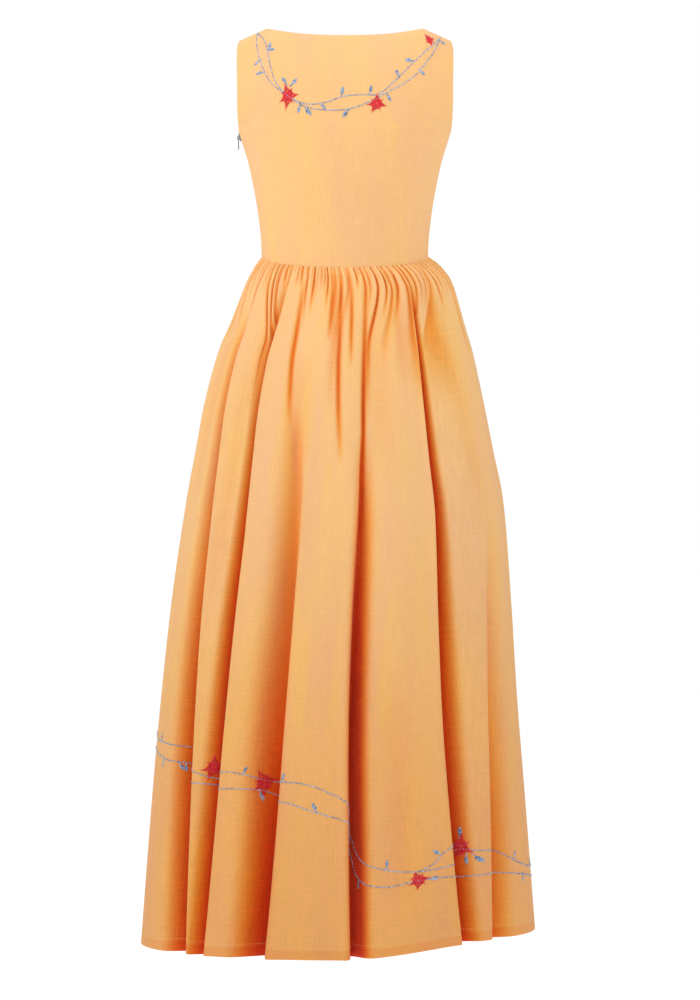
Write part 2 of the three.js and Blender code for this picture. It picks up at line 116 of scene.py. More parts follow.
class Finish(Nodes):
    """Short calls for building a material."""

    def __init__(self, name):
        self.material = bpy.data.materials.new(name)
        self.material.use_nodes = True
        super().__init__(self.material.node_tree)
        self.surface = self.tree.nodes["Principled BSDF"]

    def math(self, operation, a, b=0.0, c=0.0):
        node = self.add("ShaderNodeMath", operation=operation)
        for socket, value in zip(node.inputs, (a, b, c)):
            self.set(socket, value)
        return node.outputs[0]

    def mix(self, share, a, b, blend="MIX"):
        node = self.add("ShaderNodeMix", {"Factor": share}, data_type="RGBA", blend_type=blend)
        self.fill(node, {"A": a, "B": b})
        return node.outputs["Result"]

    def noise(self, place, lumps, detail=2.0, roughness=0.5):
        """Noise from 0 to 1. lumps is how many there are in a metre, one number or one an axis."""
        scale = np.broadcast_to(lumps, 3).tolist()
        mapped = self.add("ShaderNodeMapping", {"Vector": place, "Scale": scale})
        made = self.add("ShaderNodeTexNoise", {"Vector": mapped.outputs[0], "Scale": 1.0,
                                               "Detail": detail, "Roughness": roughness})
        return made.outputs["Fac"]

    def bump(self, height, strength, distance):
        values = {"Height": height, "Strength": strength, "Distance": distance}
        return self.add("ShaderNodeBump", values).outputs[0]


def srgb(red, green, blue):
    """A colour as it looks on a screen, from 0 to 255, turned into the linear one nodes use."""
    parts = np.array([red, green, blue]) / 255
    linear = np.where(parts <= 0.04045, parts / 12.92, ((parts + 0.055) / 1.055) ** 2.4)
    return (*linear.tolist(), 1.0)


# %% [markdown]
# ## The floor
# The real picture was taken before white. The floor here is a wide pale sheet that is lit from
# below, as on a light table, so that it stays white far away and no shadow shows on it. There is no
# wall, so the dress can be looked at from every side.

# %% Floor
FLOOR_Z = -1250
FLOOR_HALF_WIDTH = 60000
FLOOR_TONE = (0.22, 0.22, 0.22, 1)
FLOOR_GLOW = 0.95
WHITE = (1, 1, 1, 1)


def make_floor():
    half = FLOOR_HALF_WIDTH * MM
    corners = [(-half, -half), (half, -half), (half, half), (-half, half)]
    mesh = bpy.data.meshes.new("floor")
    mesh.from_pydata([(x, y, FLOOR_Z * MM) for x, y in corners], [], [(0, 1, 2, 3)])
    light_table = Finish("light_table")
    light_table.fill(light_table.surface, {
        "Base Color": FLOOR_TONE, "Roughness": 0.9,
        "Emission Color": WHITE, "Emission Strength": FLOOR_GLOW})
    mesh.materials.append(light_table.material)
    floor = new_object("floor", mesh)


make_floor()
print("floor", FLOOR_Z, "mm")

# %% [markdown]
# ## The lights
# Soft light came from both sides and a little from the front: the sides of the dress are lighter
# than its middle. Large area lights are the soft boxes, and the sky is white where the camera looks
# at it and dimmer where it lights cloth, which a Light Path node tells apart.

# %% Lights
LIGHTS = [
    # name, azimuth and elevation from the dress in degrees, distance, size (m), watts
    ("left_box", -62, 27, 2.6, 2.0, 13.6),
    ("right_box", 66, 27, 2.6, 2.0, 10.2),
    ("front_box", -8, 43, 3.2, 2.4, 9.2),
    ("back_box", 180, 48, 2.2, 1.8, 5),
]
SPREAD = 86  # a grid on each box keeps its light from spreading wider, in degrees
WORLD_STRENGTH = 0.2  # as the sky lights the cloth
SKY_SEEN = 1.0  # as the camera sees it
AIM = Vector((0, 0, 0.32))

for name, azimuth, elevation, distance, size, watts in LIGHTS:
    light = bpy.data.lights.new(name, "AREA")
    light.shape = "SQUARE"
    light.size = size
    light.energy = watts
    light.spread = math.radians(SPREAD)
    lamp = new_object(name, light)
    turn, rise = math.radians(azimuth), math.radians(elevation)
    level = math.cos(rise)
    way = Vector((math.sin(turn) * level, -math.cos(turn) * level, math.sin(rise)))
    lamp.location = AIM + way * distance
    lamp.rotation_euler = (-way).to_track_quat("-Z", "Y").to_euler()

world = bpy.data.worlds.new("studio")
bpy.context.scene.world = world
world.use_nodes = True
sky = Nodes(world.node_tree)
seen = sky.add("ShaderNodeLightPath").outputs["Is Camera Ray"]
strength = sky.add("ShaderNodeMath", operation="MULTIPLY_ADD")
for socket, value in zip(strength.inputs, (seen, SKY_SEEN - WORLD_STRENGTH, WORLD_STRENGTH)):
    sky.set(socket, value)
sky.fill(world.node_tree.nodes["Background"], {"Color": WHITE, "Strength": strength.outputs[0]})
bpy.context.scene.view_settings.view_transform = "Standard"
print("lights", [row[0] for row in LIGHTS])

# %% [markdown]
# ## Curves through tables
# The dress is measured at a few levels. Between them its width and depth change smoothly, so the
# numbers are read through one smooth curve, with slopes taken from the neighbouring rows.

# %% Helpers for smooth numbers
SHORTEST = 1e-12  # a vector is never divided by less
STEP = 1e-4  # to either side, where a surface's slope is measured
INSIDE = 0.001  # how far from its edges a surface's slope is measured, as a share of it


def columns(names, rows):
    """A table as one array for each named column."""
    return dict(zip(names.split(), np.array(rows, dtype=float).T))


def smoothstep(x, low, high):
    """0 below low, 1 above high, and a smooth step between."""
    t = np.clip((x - low) / (high - low), 0, 1)
    return t * t * (3 - 2 * t)


def lerp(a, b, t):
    return a + (b - a) * t


def along(table, key, column, at):
    """A smooth curve through one column of a table whose key rises from row to row."""
    keys, values = table[key], table[column]
    at = np.asarray(at, dtype=float)
    i = np.clip(np.searchsorted(keys, at), 1, len(keys) - 1)
    slope = np.empty(len(keys))
    slope[1:-1] = (values[2:] - values[:-2]) / (keys[2:] - keys[:-2])
    slope[0] = (values[1] - values[0]) / (keys[1] - keys[0])
    slope[-1] = (values[-1] - values[-2]) / (keys[-1] - keys[-2])
    span = keys[i] - keys[i - 1]
    t = np.clip((at - keys[i - 1]) / span, 0, 1)
    return (values[i - 1] * (1 - t) ** 2 * (1 + 2 * t) + values[i] * t**2 * (3 - 2 * t)
            + slope[i - 1] * span * t * (1 - t) ** 2 - slope[i] * span * t**2 * (1 - t))


def bend(a, b, c, t):
    """A curve through a at 0, b at one half and c at 1."""
    return a * (2 * t - 1) * (t - 1) + 4 * b * t * (1 - t) + c * t * (2 * t - 1)


def unit(vectors):
    return vectors / np.maximum(np.linalg.norm(vectors, axis=-1, keepdims=True), SHORTEST)


def turn_past(angle, start):
    """How far an angle has turned past another, from minus to plus half a turn."""
    return (angle - start + np.pi) % (2 * np.pi) - np.pi


# %% [markdown]
# ## The bodice's shape
# A bodice panel is one piece from side seam to side seam with no darts. Its edge runs up the side
# seam, round the armhole and along the shoulder, and its neckline is almost straight from shoulder
# to shoulder. Every point has a place across the panel, from -1 to 1, and a rise, from 0 at the
# waist seam to 1 at the top edge.

# %% Bodice sizes and surface
NECK_HALF_WIDTH = 97
NECK_CORNER_Z = 8.6
SHOULDER_TIP_Z = -5.5
UNDERARM_Z = -112
ARMHOLE_RISE = 62
SHOULDER_DROP_Z = -95
NECK_SHAPE = 2.4  # a high power keeps the neckline straight until near the shoulders
SHOULDER_ROUND = 2.6
NECK_ROUND = 1.2
CORNER_POWER = 3
WAIST_SIDE_Z = -270
WAIST_DIP = 18.6

BODICE_SECTIONS = columns("z half_width back front", [
    (-270, 101.5, 78, 82),
    (-249, 102.5, 79, 83.5),
    (-225, 105, 81, 86),
    (-200, 108.7, 84, 89.5),
    (-175, 113.5, 87, 93),
    (-151, 119, 89.5, 96),
    (-126, 126.8, 91, 98),
    (-112, 130.5, 91.5, 98),
    (-60, 132.5, 88, 93),
    (-18, 132, 84, 88),
    (-5.5, 129.5, 83, 87),
])
PANELS = {
    "back": dict(side=-1, neck_centre_z=-3.9, neck_depth=52, armhole_share=0.5, scoop=1),
    "front": dict(side=1, neck_centre_z=-32, neck_depth=60, armhole_share=0.58, scoop=8),
}


def waist_z(facing):
    """Height of the waist seam. facing is 1 at a panel's middle and 0 at a side seam."""
    return WAIST_SIDE_Z - WAIST_DIP * facing


def top_edge(panel, x):
    """Depth and height of the shoulder seams and, between them, the neckline."""
    share = np.abs(x) / NECK_HALF_WIDTH
    inside = np.clip(share, 0, 1)
    tip_x = BODICE_SECTIONS["half_width"][-1]
    tip_share = (np.abs(x) - NECK_HALF_WIDTH) / (tip_x - NECK_HALF_WIDTH)
    shoulder = lerp(NECK_CORNER_Z, SHOULDER_TIP_Z, tip_share)
    neckline = lerp(panel["neck_centre_z"], NECK_CORNER_Z, inside**NECK_SHAPE)
    return panel["neck_depth"] * np.sqrt(1 - inside**2), np.where(share >= 1, shoulder, neckline)


def edge_angle(panel, z):
    """Angle of a panel's edge: a quarter turn at the side seam, less along the armhole."""
    opened = np.clip((z - UNDERARM_Z) / ARMHOLE_RISE, 0, 1)
    return np.arccos(panel["armhole_share"] * np.sqrt(1 - (1 - opened) ** 2))


def edge_half_width(panel, z):
    """Half the panel's width, a little scooped out along the armhole."""
    opened = np.clip((z - UNDERARM_Z) / (SHOULDER_TIP_Z - UNDERARM_Z), 0, 1)
    half_width = along(BODICE_SECTIONS, "z", "half_width", z)
    return half_width - panel["scoop"] * np.sin(np.pi * opened) ** 2


def bodice_surface(name, across, rise):
    """A point of a bodice panel. Below the armholes it follows the sections, above it closes in."""
    panel = PANELS[name]
    edge_z = lerp(WAIST_SIDE_Z, SHOULDER_TIP_Z, rise)
    widest = edge_angle(panel, edge_z)
    angle = across * widest
    x = edge_half_width(panel, edge_z) * np.sin(angle) / np.sin(widest)
    top_angle = edge_angle(panel, SHOULDER_TIP_Z)
    top_x = edge_half_width(panel, SHOULDER_TIP_Z) * np.sin(across * top_angle) / np.sin(top_angle)
    top_depth, top_z = top_edge(panel, top_x)
    z = lerp(waist_z(np.cos(across * np.pi / 2)), top_z, rise)
    full = along(BODICE_SECTIONS, "z", name, edge_z) * np.cos(angle)
    raised = np.clip((z - SHOULDER_DROP_Z) / (top_z - SHOULDER_DROP_Z), 0, 1)
    to_corner = np.clip(np.abs(top_x) / NECK_HALF_WIDTH, 0, 1) ** CORNER_POWER
    rounded = (1 - raised**SHOULDER_ROUND) ** (1 / lerp(NECK_ROUND, SHOULDER_ROUND, to_corner))
    return np.stack([x, panel["side"] * lerp(top_depth, full, rounded), z], -1)


def surface_normal(surface, u, v, side):
    """Outward normal of a surface of two numbers, by looking a small step either way."""
    ahead = surface(u + STEP, v) - surface(u - STEP, v)
    above = surface(u, v + STEP) - surface(u, v - STEP)
    return side * unit(np.cross(ahead, above))


print("bodice sections", len(BODICE_SECTIONS["z"]))

# %% [markdown]
# ## The skirt's shape
# Under the seam the skirt swells to a bell. Big folds run from the gathers to the hem, and each
# hangs over the hollow beside it. A fold is added to the bell's section as a hollow that goes in
# and leans sideways, and a low crest along its edge. The fold table was set against the
# photograph, and the folds that it does not show are like them.

# %% Skirt sizes and folds
SKIRT_LENGTH = 840
HEM_Z = -1111.5
HEM_LIFT = 17.5
HEM_LIFT_END = 0.85
DEPTH_SHARE = {"back": 0.77, "front": 0.8}

SKIRT_SECTIONS = columns("drop half_width centre_x", [
    (0, 101.5, 0),
    (6, 108, 2),
    (16, 116, 4),
    (28, 123.5, 5),
    (53, 133.2, 4.3),
    (84, 144.3, 2.5),
    (114, 155.3, 0.6),
    (176, 170.7, -1),
    (237, 182.4, -0.6),
    (298, 194, 0),
    (421, 208, -4.3),
    (544, 218.6, -7.4),
    (667, 229, -8),
    (850, 243, -8),
])

PAST_HEM = 2000
# waist, middle and hem: the angle of the fold's edge there, in degrees from the left side seam
# depth and lean: how far its hollow goes in and sideways; narrow and width: how wide it is above
# and below; start and end: where it grows and where it has gone; shade: where its painted shade
# turns dark
FOLD_COLUMNS = "waist middle hem depth narrow width lean start end shade".split()
FOLDS = [dict(zip(FOLD_COLUMNS, row)) for row in [
    (30, 37, 41.5, 46, 5, 13, 9, 60, PAST_HEM, 430),
    (53, 52.7, 48.3, 30, 3.5, 8, 14, 5, PAST_HEM, 250),
    (76, 75, 69, 44, 12, 15, 17, 170, PAST_HEM, 620),
    (86.5, 86, 83, 8, 4, 6, 3, 5, 200, 0),
    (94, 92.5, 93, 36, 9, 8, -9, 200, PAST_HEM, 300),
    (126, 123.6, 128.3, 30, 2.6, 9, -15, 5, PAST_HEM, 0),
    (150, 146, 139, 17, 10, 13, -12, 300, PAST_HEM, 600),
    (205, 202, 207, 30, 4, 11, 14, 60, PAST_HEM, 420),
    (228, 232, 229, 32, 3.5, 10, 19, 10, PAST_HEM, 350),
    (247, 249, 249, 9, 4, 7, 3, 10, 350, 0),
    (264, 267, 270, 38, 8, 12, -14, 130, PAST_HEM, 500),
    (283, 284, 286, 8, 4, 6, -3, 12, 250, 0),
    (302, 305, 302, 30, 3, 9, 17, 10, PAST_HEM, 300),
    (327, 325, 329, 26, 5, 12, -15, 60, PAST_HEM, 450),
]]
FOLD_REACH = 210
FOLD_FADE = 200
EDGE_OFFSET = 1.7  # from the hollow's middle to the fold's edge, in widths
CREST_SHARE = 0.12
FOLD_WIDENS = (60, 600)
SHADE_REACH = 220  # above and below its shade level, where a hollow goes from light to dark
LEAST_SHADE = 0.35


def section_at(angle, drop):
    """Half width, depth and centre of the bell's section."""
    half_width = along(SKIRT_SECTIONS, "drop", "half_width", drop)
    share = np.where(np.sin(angle) > 0, DEPTH_SHARE["back"], DEPTH_SHARE["front"])
    return half_width, half_width * share, along(SKIRT_SECTIONS, "drop", "centre_x", drop)


def fold_at(row, drop):
    """A fold's sizes at a distance below the seam, and the angle of the middle of its hollow."""
    grown = 1 - np.exp(-np.maximum(0, drop - row["start"]) / FOLD_REACH)
    left = 1 - smoothstep(drop, row["end"] - FOLD_FADE, row["end"])
    width = lerp(row["narrow"], row["width"], smoothstep(drop, *FOLD_WIDENS))
    edge = np.radians(bend(row["waist"], row["middle"], row["hem"], drop / SKIRT_LENGTH))
    half_width, depth, _ = section_at(edge, drop)
    turn_width = width / np.hypot(half_width * np.sin(edge), depth * np.cos(edge))
    side = math.copysign(1, row["lean"])
    shade = smoothstep(drop, row["shade"] - SHADE_REACH, row["shade"] + SHADE_REACH)
    return dict(side=side, width=width, turn_width=turn_width, shade=lerp(LEAST_SHADE, 1, shade),
                angle=edge - side * EDGE_OFFSET * turn_width,
                depth=row["depth"] * grown * left, lean=row["lean"] * grown * left)


def folded_plan(angle, drop):
    """A section of the skirt with its folds, in plan, and how steep and shaded it is there."""
    half_width, depth, centre_x = section_at(angle, drop)
    tangent = unit(np.stack([half_width * np.sin(angle), -depth * np.cos(angle)], -1))
    outward = np.stack([tangent[..., 1], -tangent[..., 0]], -1)
    out = np.zeros(np.shape(angle))
    sideways = np.zeros(np.shape(angle))
    steep = np.zeros(np.shape(angle))
    for row in FOLDS:
        fold = fold_at(row, drop)
        away = turn_past(angle, fold["angle"]) / fold["turn_width"]
        hollow = np.exp(-(away**2))
        crest = np.exp(-((away - fold["side"] * EDGE_OFFSET) ** 2))
        out += fold["depth"] * (CREST_SHARE * crest - hollow)
        sideways += fold["lean"] * hollow
        # painted shade: a hollow is painted darker the deeper it is for its width
        steep += fold["depth"] / fold["width"] * hollow * fold["shade"]
    plan = np.stack([centre_x - half_width * np.cos(angle), -depth * np.sin(angle)], -1)
    return plan + out[..., None] * outward + sideways[..., None] * tangent, steep


def hem_height(angle):
    """The hem is level but for one side, where it hangs a little higher."""
    return HEM_Z + HEM_LIFT * smoothstep(-np.cos(angle), 0, HEM_LIFT_END)


def skirt_surface(angle, fall):
    """A point of the skirt without its gathers. fall is 0 at the waist seam and 1 at the hem."""
    top = waist_z(np.abs(np.sin(angle)))
    z = lerp(top, hem_height(angle), fall)
    plan, _ = folded_plan(angle, top - z)
    return np.concatenate([plan, z[..., None]], -1)


print("folds", len(FOLDS), "of them to the hem", sum(row["end"] == PAST_HEM for row in FOLDS))

# %% [markdown]
# ## Grid columns that follow the folds
# A fold's hollow is only a few centimetres wide, so the grid's columns are gathered there and run
# down along the fold. At the waist they are even, which suits the small gathers.

# %% Columns of the skirt grid
FOLD_STATIONS = [-2.2, -1.2, -0.6, 0, 0.4, 0.85, 1.5, 2.2]  # across a hollow, in widths
SHORT_FOLD_STATIONS = [-1.8, -0.7, 0.7, 1.8]
STATION_ROOM = 0.9  # of the way to the next fold, at most
COLUMNS_SETTLED = 100
WIDEST_COLUMN = 30
COLUMNS_PER_GATHER = 3
FINER = 3  # columns here for each column of the plain model
SEAM_START = {"back": 0.0, "front": math.pi}


def knot_angles(name, drop):
    """Angles of a panel's side seams and of the places across each of its folds."""
    start = SEAM_START[name]
    rows = [row for row in FOLDS if start < math.radians(row["middle"]) < start + math.pi]
    hollows = [fold_at(row, drop) for row in rows]
    knots = [start]
    for i, (row, hollow) in enumerate(zip(rows, hollows)):
        before = (hollow["angle"] - hollows[i - 1]["angle"]) / 2 if i else hollow["angle"] - start
        if i < len(rows) - 1:
            after = (hollows[i + 1]["angle"] - hollow["angle"]) / 2
        else:
            after = start + math.pi - hollow["angle"]
        reach = FOLD_STATIONS[-1] * hollow["turn_width"]
        stations = SHORT_FOLD_STATIONS if row["end"] < PAST_HEM else FOLD_STATIONS
        turns = [station * hollow["side"] * hollow["turn_width"] for station in stations]
        turns = [t * min(1, STATION_ROOM * (before if t < 0 else after) / reach) for t in turns]
        knots += sorted(hollow["angle"] + t for t in turns)
    return np.array([*knots, start + math.pi])


def column_counts(name):
    """How many plain columns lie between each two knots, so that none is too wide at the hem."""
    knots = knot_angles(name, SKIRT_LENGTH)
    widest = WIDEST_COLUMN / SKIRT_SECTIONS["half_width"][-1]
    return np.ceil(np.diff(knots) / widest).astype(int)


def column_angles(name, drop):
    """Angles of a panel's columns at one level, even at the waist and along the folds below."""
    knots = knot_angles(name, drop)
    placed = [np.linspace(knots[i], knots[i + 1], 2 * FINER * count, endpoint=False)
              for i, count in enumerate(column_counts(name))]
    placed = np.append(np.concatenate(placed), knots[-1])
    even = np.linspace(knots[0], knots[-1], len(placed))
    return lerp(even, placed, smoothstep(drop, 0, COLUMNS_SETTLED))


print("skirt columns", {name: len(column_angles(name, 0)) for name in PANELS})

# %% [markdown]
# ## Gathers and creases
# The waist seam draws about forty small gathers into each half of the skirt. Cotton pinches
# between them, so a gather is a round crest between two narrow creases, often with a smaller one
# on it. Each crease has its own depth, length and drift, from a generator with a fixed seed.

# %% Gathers under the waist seam
GATHER_SCATTER = 0.18
GATHER_CREST = 1.3
GATHER_RISE = 12
GATHER_AT_SEAM = 0.55
CREASE_AT_SEAM = 0.85
CREASE_DEPTHS = (1.8, 4.2)
CREASE_LENGTHS = (30, 230)
CREASE_WIDTHS = (0.09, 0.16)
SMALL_DEPTHS = (1.0, 2.4)
SMALL_LENGTHS = (12, 60)
SMALL_WIDTHS = (0.07, 0.12)
CREASE_DRIFT = 0.45
CREASE_DRIFT_DROP = 100
CREASE_WIDENS = 60
CREASE_FADES = 0.2  # the share of its length at which a crease starts to fade
GATHER_FADES = (20, 110)
SIDE_SEAM_CALM = 0.6  # of a gather, beside each side seam
GATHER_SEEDS = {"back": 11, "front": 23}


def gather_relief(name, place, drop):
    """How far the gathers stand out, and how deep in a crease a point is. place counts gathers."""
    random = np.random.default_rng(GATHER_SEEDS[name])
    last = place.max()
    relief = np.zeros(place.shape)
    for half in range(2 * int(last)):
        small = half % 2
        middle = half / 2 + 0.5 + random.uniform(-GATHER_SCATTER, GATHER_SCATTER)
        depth = random.uniform(*(SMALL_DEPTHS if small else CREASE_DEPTHS))
        length = lerp(*(SMALL_LENGTHS if small else CREASE_LENGTHS), random.uniform() ** 2)
        width = random.uniform(*(SMALL_WIDTHS if small else CREASE_WIDTHS))
        drift = random.uniform(-CREASE_DRIFT, CREASE_DRIFT)
        off = place - middle - drift * drop / CREASE_DRIFT_DROP
        widened = width * (1 + np.clip(drop / CREASE_WIDENS, 0, 2))
        faded = 1 - smoothstep(drop, CREASE_FADES * length, length)
        relief -= depth * faded * np.exp(-((off / widened) ** 2))
    risen = smoothstep(drop, 0, GATHER_RISE)
    relief = relief * lerp(CREASE_AT_SEAM, 1, risen)
    crest = GATHER_CREST * (1 - smoothstep(drop, *GATHER_FADES)) * lerp(GATHER_AT_SEAM, 1, risen)
    at_seams = smoothstep(place, 0, SIDE_SEAM_CALM) * smoothstep(last - place, 0, SIDE_SEAM_CALM)
    return (relief + crest) * at_seams, -relief * at_seams


# %% [markdown]
# ## Longer creases
# Some creases are longer than a gather and don't lie at random: they start where the cloth is
# pulled or pushed, at the zip, under the arms and beside a fold. They are listed one by one, each as a
# soft trough or ridge along a line. They could be sculpted too, but a table is easier to change.

# %% Creases listed one by one
CREASE_TAPER = 0.8
CREASE_IN_REACH = 0.5  # radians past a panel's edge, further off a crease is left out
# angles in degrees from the left side seam, drops below the waist seam and sizes in mm
CREASE_COLUMNS = "from_angle from_drop to_angle to_drop width height".split()
SKIRT_CREASES = [dict(zip(CREASE_COLUMNS, row)) for row in [
    (77, 92, 81, 86, 4, 1.5),
    (70, 100, 73, 240, 14, -1.8),
    (59, 60, 56, 330, 16, 2.0),
    (44, 120, 41, 420, 14, -2.2),
    (22, 40, 17, 300, 15, -2.0),
    (12, 90, 9, 520, 18, 2.4),
    (99, 14, 96.4, 350, 2.8, -4.4),
    (85.3, 6, 88.6, 235, 3, -3.6),
    (91, 5, 92.5, 120, 2.4, -2.4),
    (80.5, 5, 81.5, 90, 2.4, -2.2),
    (63, 14, 67.4, 190, 3, -3.5),
    (66.5, 130, 72.5, 300, 9, -1.6),
    (103, 30, 106, 260, 14, -1.6),
    (108, 60, 112, 420, 20, 2.2),
    (116, 10, 117, 150, 9, -2.0),
    (137, 12, 139, 130, 10, -1.7),
    (146, 40, 149, 330, 18, -2.4),
    (161, 30, 164, 420, 20, 2.4),
    (171, 120, 172, 560, 16, -2.0),
    (63, 420, 60, 720, 18, -2.0),
    (108, 470, 111, 790, 20, -2.2),
    (139, 380, 138, 700, 15, 1.8),
    (189, 40, 187, 380, 16, -2.2),
    (196, 200, 195, 560, 16, 2.0),
    (216, 30, 214, 300, 14, -2.0),
    (240, 20, 243, 210, 12, -2.0),
    (256, 90, 256, 420, 16, 2.2),
    (275, 40, 277, 260, 14, -1.8),
    (292, 60, 294, 520, 18, 2.2),
    (312, 30, 315, 260, 14, -2.2),
    (338, 60, 341, 480, 18, 2.2),
    (350, 40, 351, 300, 14, -2.0),
    (222, 440, 220, 720, 18, -2.0),
    (281, 420, 283, 760, 18, -2.0),
]]
BODICE_CREASES = {
    # along and up of the start and the end, width, height, all in mm
    "back": [
        (99, -212, 86, -256, 4.5, 1.3),
        (104, -205, 97, -262, 6, -1.2),
        (-112, -118, -92, -134, 7, -1.0),
        (-104, -124, -78, -168, 12, 0.9),
        (112, -120, 92, -140, 7, -0.9),
        (-40, -175, -34, -268, 14, -0.8),
        (22, -160, 18, -270, 16, 0.8),
        (60, -190, 54, -268, 12, -0.7),
        (-78, -200, -70, -266, 10, 0.8),
    ],
    "front": [
        (-98, -208, -84, -252, 5, -1.2),
        (113, -118, 94, -136, 7, -1.0),
        (-113, -119, -90, -142, 8, -1.0),
        (101, -130, 78, -176, 12, 0.9),
        (44, -178, 38, -268, 14, -0.8),
        (-20, -165, -17, -272, 15, 0.8),
        (-62, -196, -55, -268, 11, -0.7),
    ],
}


def crease_relief(x, y, x0, y0, x1, y1, width, height):
    """A bodice crease: a trough or ridge along a straight line, tapering to its ends."""
    run = np.array([x1 - x0, y1 - y0], dtype=float)
    length = math.hypot(*run)
    share = ((x - x0) * run[0] + (y - y0) * run[1]) / length**2
    off = ((x - x0) * run[1] - (y - y0) * run[0]) / length
    taper = np.sin(np.pi * np.clip(share, 0, 1)) ** CREASE_TAPER
    return height * taper * np.exp(-((off / width) ** 2))


def skirt_crease(row, angle, drop, reach):
    """A skirt crease, whose line runs from one angle and level to another. reach is mm a radian."""
    middle = math.radians((row["from_angle"] + row["to_angle"]) / 2)
    turn = turn_past(angle, middle)
    if np.abs(turn).min() > CREASE_IN_REACH:
        return np.zeros(angle.shape)
    from_x = (math.radians(row["from_angle"]) - middle) * reach
    to_x = (math.radians(row["to_angle"]) - middle) * reach
    share = np.clip((drop - row["from_drop"]) / (row["to_drop"] - row["from_drop"]), 0, 1)
    off = turn * reach - lerp(from_x, to_x, share)
    taper = np.sin(np.pi * share) ** CREASE_TAPER
    return row["height"] * taper * np.exp(-((off / row["width"]) ** 2))


print("creases", len(SKIRT_CREASES), {name: len(rows) for name, rows in BODICE_CREASES.items()})

# %% [markdown]
# ## Turned edges
# No raw edge shows on the dress. At the neck, armholes, seams and hem the cloth turns round a
# small roll and runs back inside. The grid does the same: after its last column or row it goes
# half round a circle and then back along the wall, so the edges catch the light as real ones do.

# %% Turned edges
ROLL_RADIUS = 0.5
CLOTH_THICKNESS = 0.45
HEM_TURN = 11
SEAM_TURN = 8
ROLL_STEPS = np.radians([0, 45, 90, 135, 180])
TURN_SHARES = (0.25, 0.6, 1.0)


def turned(depth):
    """Distances back from the edge, and inwards, along a turned edge, from outside to inside."""
    back = [ROLL_RADIUS * (1 - math.sin(t)) for t in ROLL_STEPS]
    inwards = [ROLL_RADIUS * (1 - math.cos(t)) for t in ROLL_STEPS]
    for share in TURN_SHARES:
        back.append(lerp(ROLL_RADIUS, depth, share))
        inwards.append(2 * ROLL_RADIUS)
    return np.array(back), np.array(inwards)


print("a turned edge has", len(turned(SEAM_TURN)[0]), "points")

# %% [markdown]
# ## From grid to cloth
# A panel's grid becomes a mesh of four-sided faces. Two things go along with it for the
# materials: a map of the cloth in metres, so that the weave runs with the threads, and how much
# painted shade each point gets in a fold. Solidify then gives the cloth its thickness.

# %% Make a panel from a grid


def grid_mesh(name, points, cloth, hollow):
    """A mesh from a grid of points in mm, with its cloth map in mm and how much painted shade it gets in
    the folds.
    """
    rows, cols = points.shape[:2]
    index = np.arange(rows * cols).reshape(rows, cols)
    corners = [index[:-1, :-1], index[1:, :-1], index[1:, 1:], index[:-1, 1:]]
    quads = np.stack(corners, -1).reshape(-1, 4)
    mesh = bpy.data.meshes.new(name)
    mesh.from_pydata((points.reshape(-1, 3) * MM).tolist(), [], quads.tolist())
    flat_map = mesh.uv_layers.new(name="cloth")
    flat_map.data.foreach_set("uv", (cloth.reshape(-1, 2)[quads.reshape(-1)] * MM).ravel())
    # the hollow attribute holds the painted shade by which the cloth material darkens the colour
    depth = mesh.attributes.new("hollow", "FLOAT", "POINT")
    depth.data.foreach_set("value", hollow.ravel().astype(np.float32))
    mesh.shade_smooth()
    mesh.update()
    return mesh


def make_panel(key, material, points, cloth, hollow):
    """One panel of cloth, and the grid and map by which stitches are placed on it."""
    mesh = grid_mesh(f"{key}_cloth", points, cloth, hollow)
    mesh.materials.append(material)
    panel = new_object(f"{key}_cloth", mesh)
    thick = panel.modifiers.new("thickness", "SOLIDIFY")
    thick.thickness = CLOTH_THICKNESS * MM
    thick.offset = 0
    thick.use_even_offset = False
    return panel, points, cloth


def arc_lengths(points):
    """Distance along each row of a grid from its first column."""
    steps = np.linalg.norm(np.diff(points, axis=1), axis=-1)
    return np.concatenate([np.zeros((len(points), 1)), np.cumsum(steps, axis=1)], axis=1)


# %% [markdown]
# ## Slub cotton
# The cloth is a plain weave of uneven yarn. Thick and thin places run along both sets of threads,
# and pink and yellow yarns mix with the peach, so the colour shimmers a little. Noises stretched
# along the threads make the threads and their slubs, a softer one the shimmer and a wide one the
# paler patches. Deep in a fold the colour is painted shade: there light would have met the orange
# walls several times, taking the cloth's colour again each time, so the painted colour is raised to
# a power there, darker and more orange. How much painted shade each point gets is on the mesh.

# %% Material for the cloth
PEACH = srgb(246, 194, 131)
YELLOW_YARN = srgb(250, 200, 116)
PINK_YARN = srgb(243, 184, 142)
YARN_CONTRAST = 1.6
YARN_SHARE = 0.7
WEFT_SLUBS = (45, 850, 1)  # lumps in a metre, along the map and up it
WARP_SLUBS = (850, 30, 1)
SHIMMER = (26, 5, 1)
PATCHES = (9, 3, 1)
SLUB_CONTRAST = 0.21
PATCH_CONTRAST = 0.08
DARKEST = 0.74
# painted shade: in the darkest hollow the base colour is raised to 1 plus this power
BOUNCES = 3.4  # how many more times light meets the cloth in the deepest hollow
HEM_ORANGE = srgb(240, 168, 98)
HEM_SHARE = 0.4
HEM_LEVEL = -0.8285  # the top of the hem's double cloth, in metres on the map


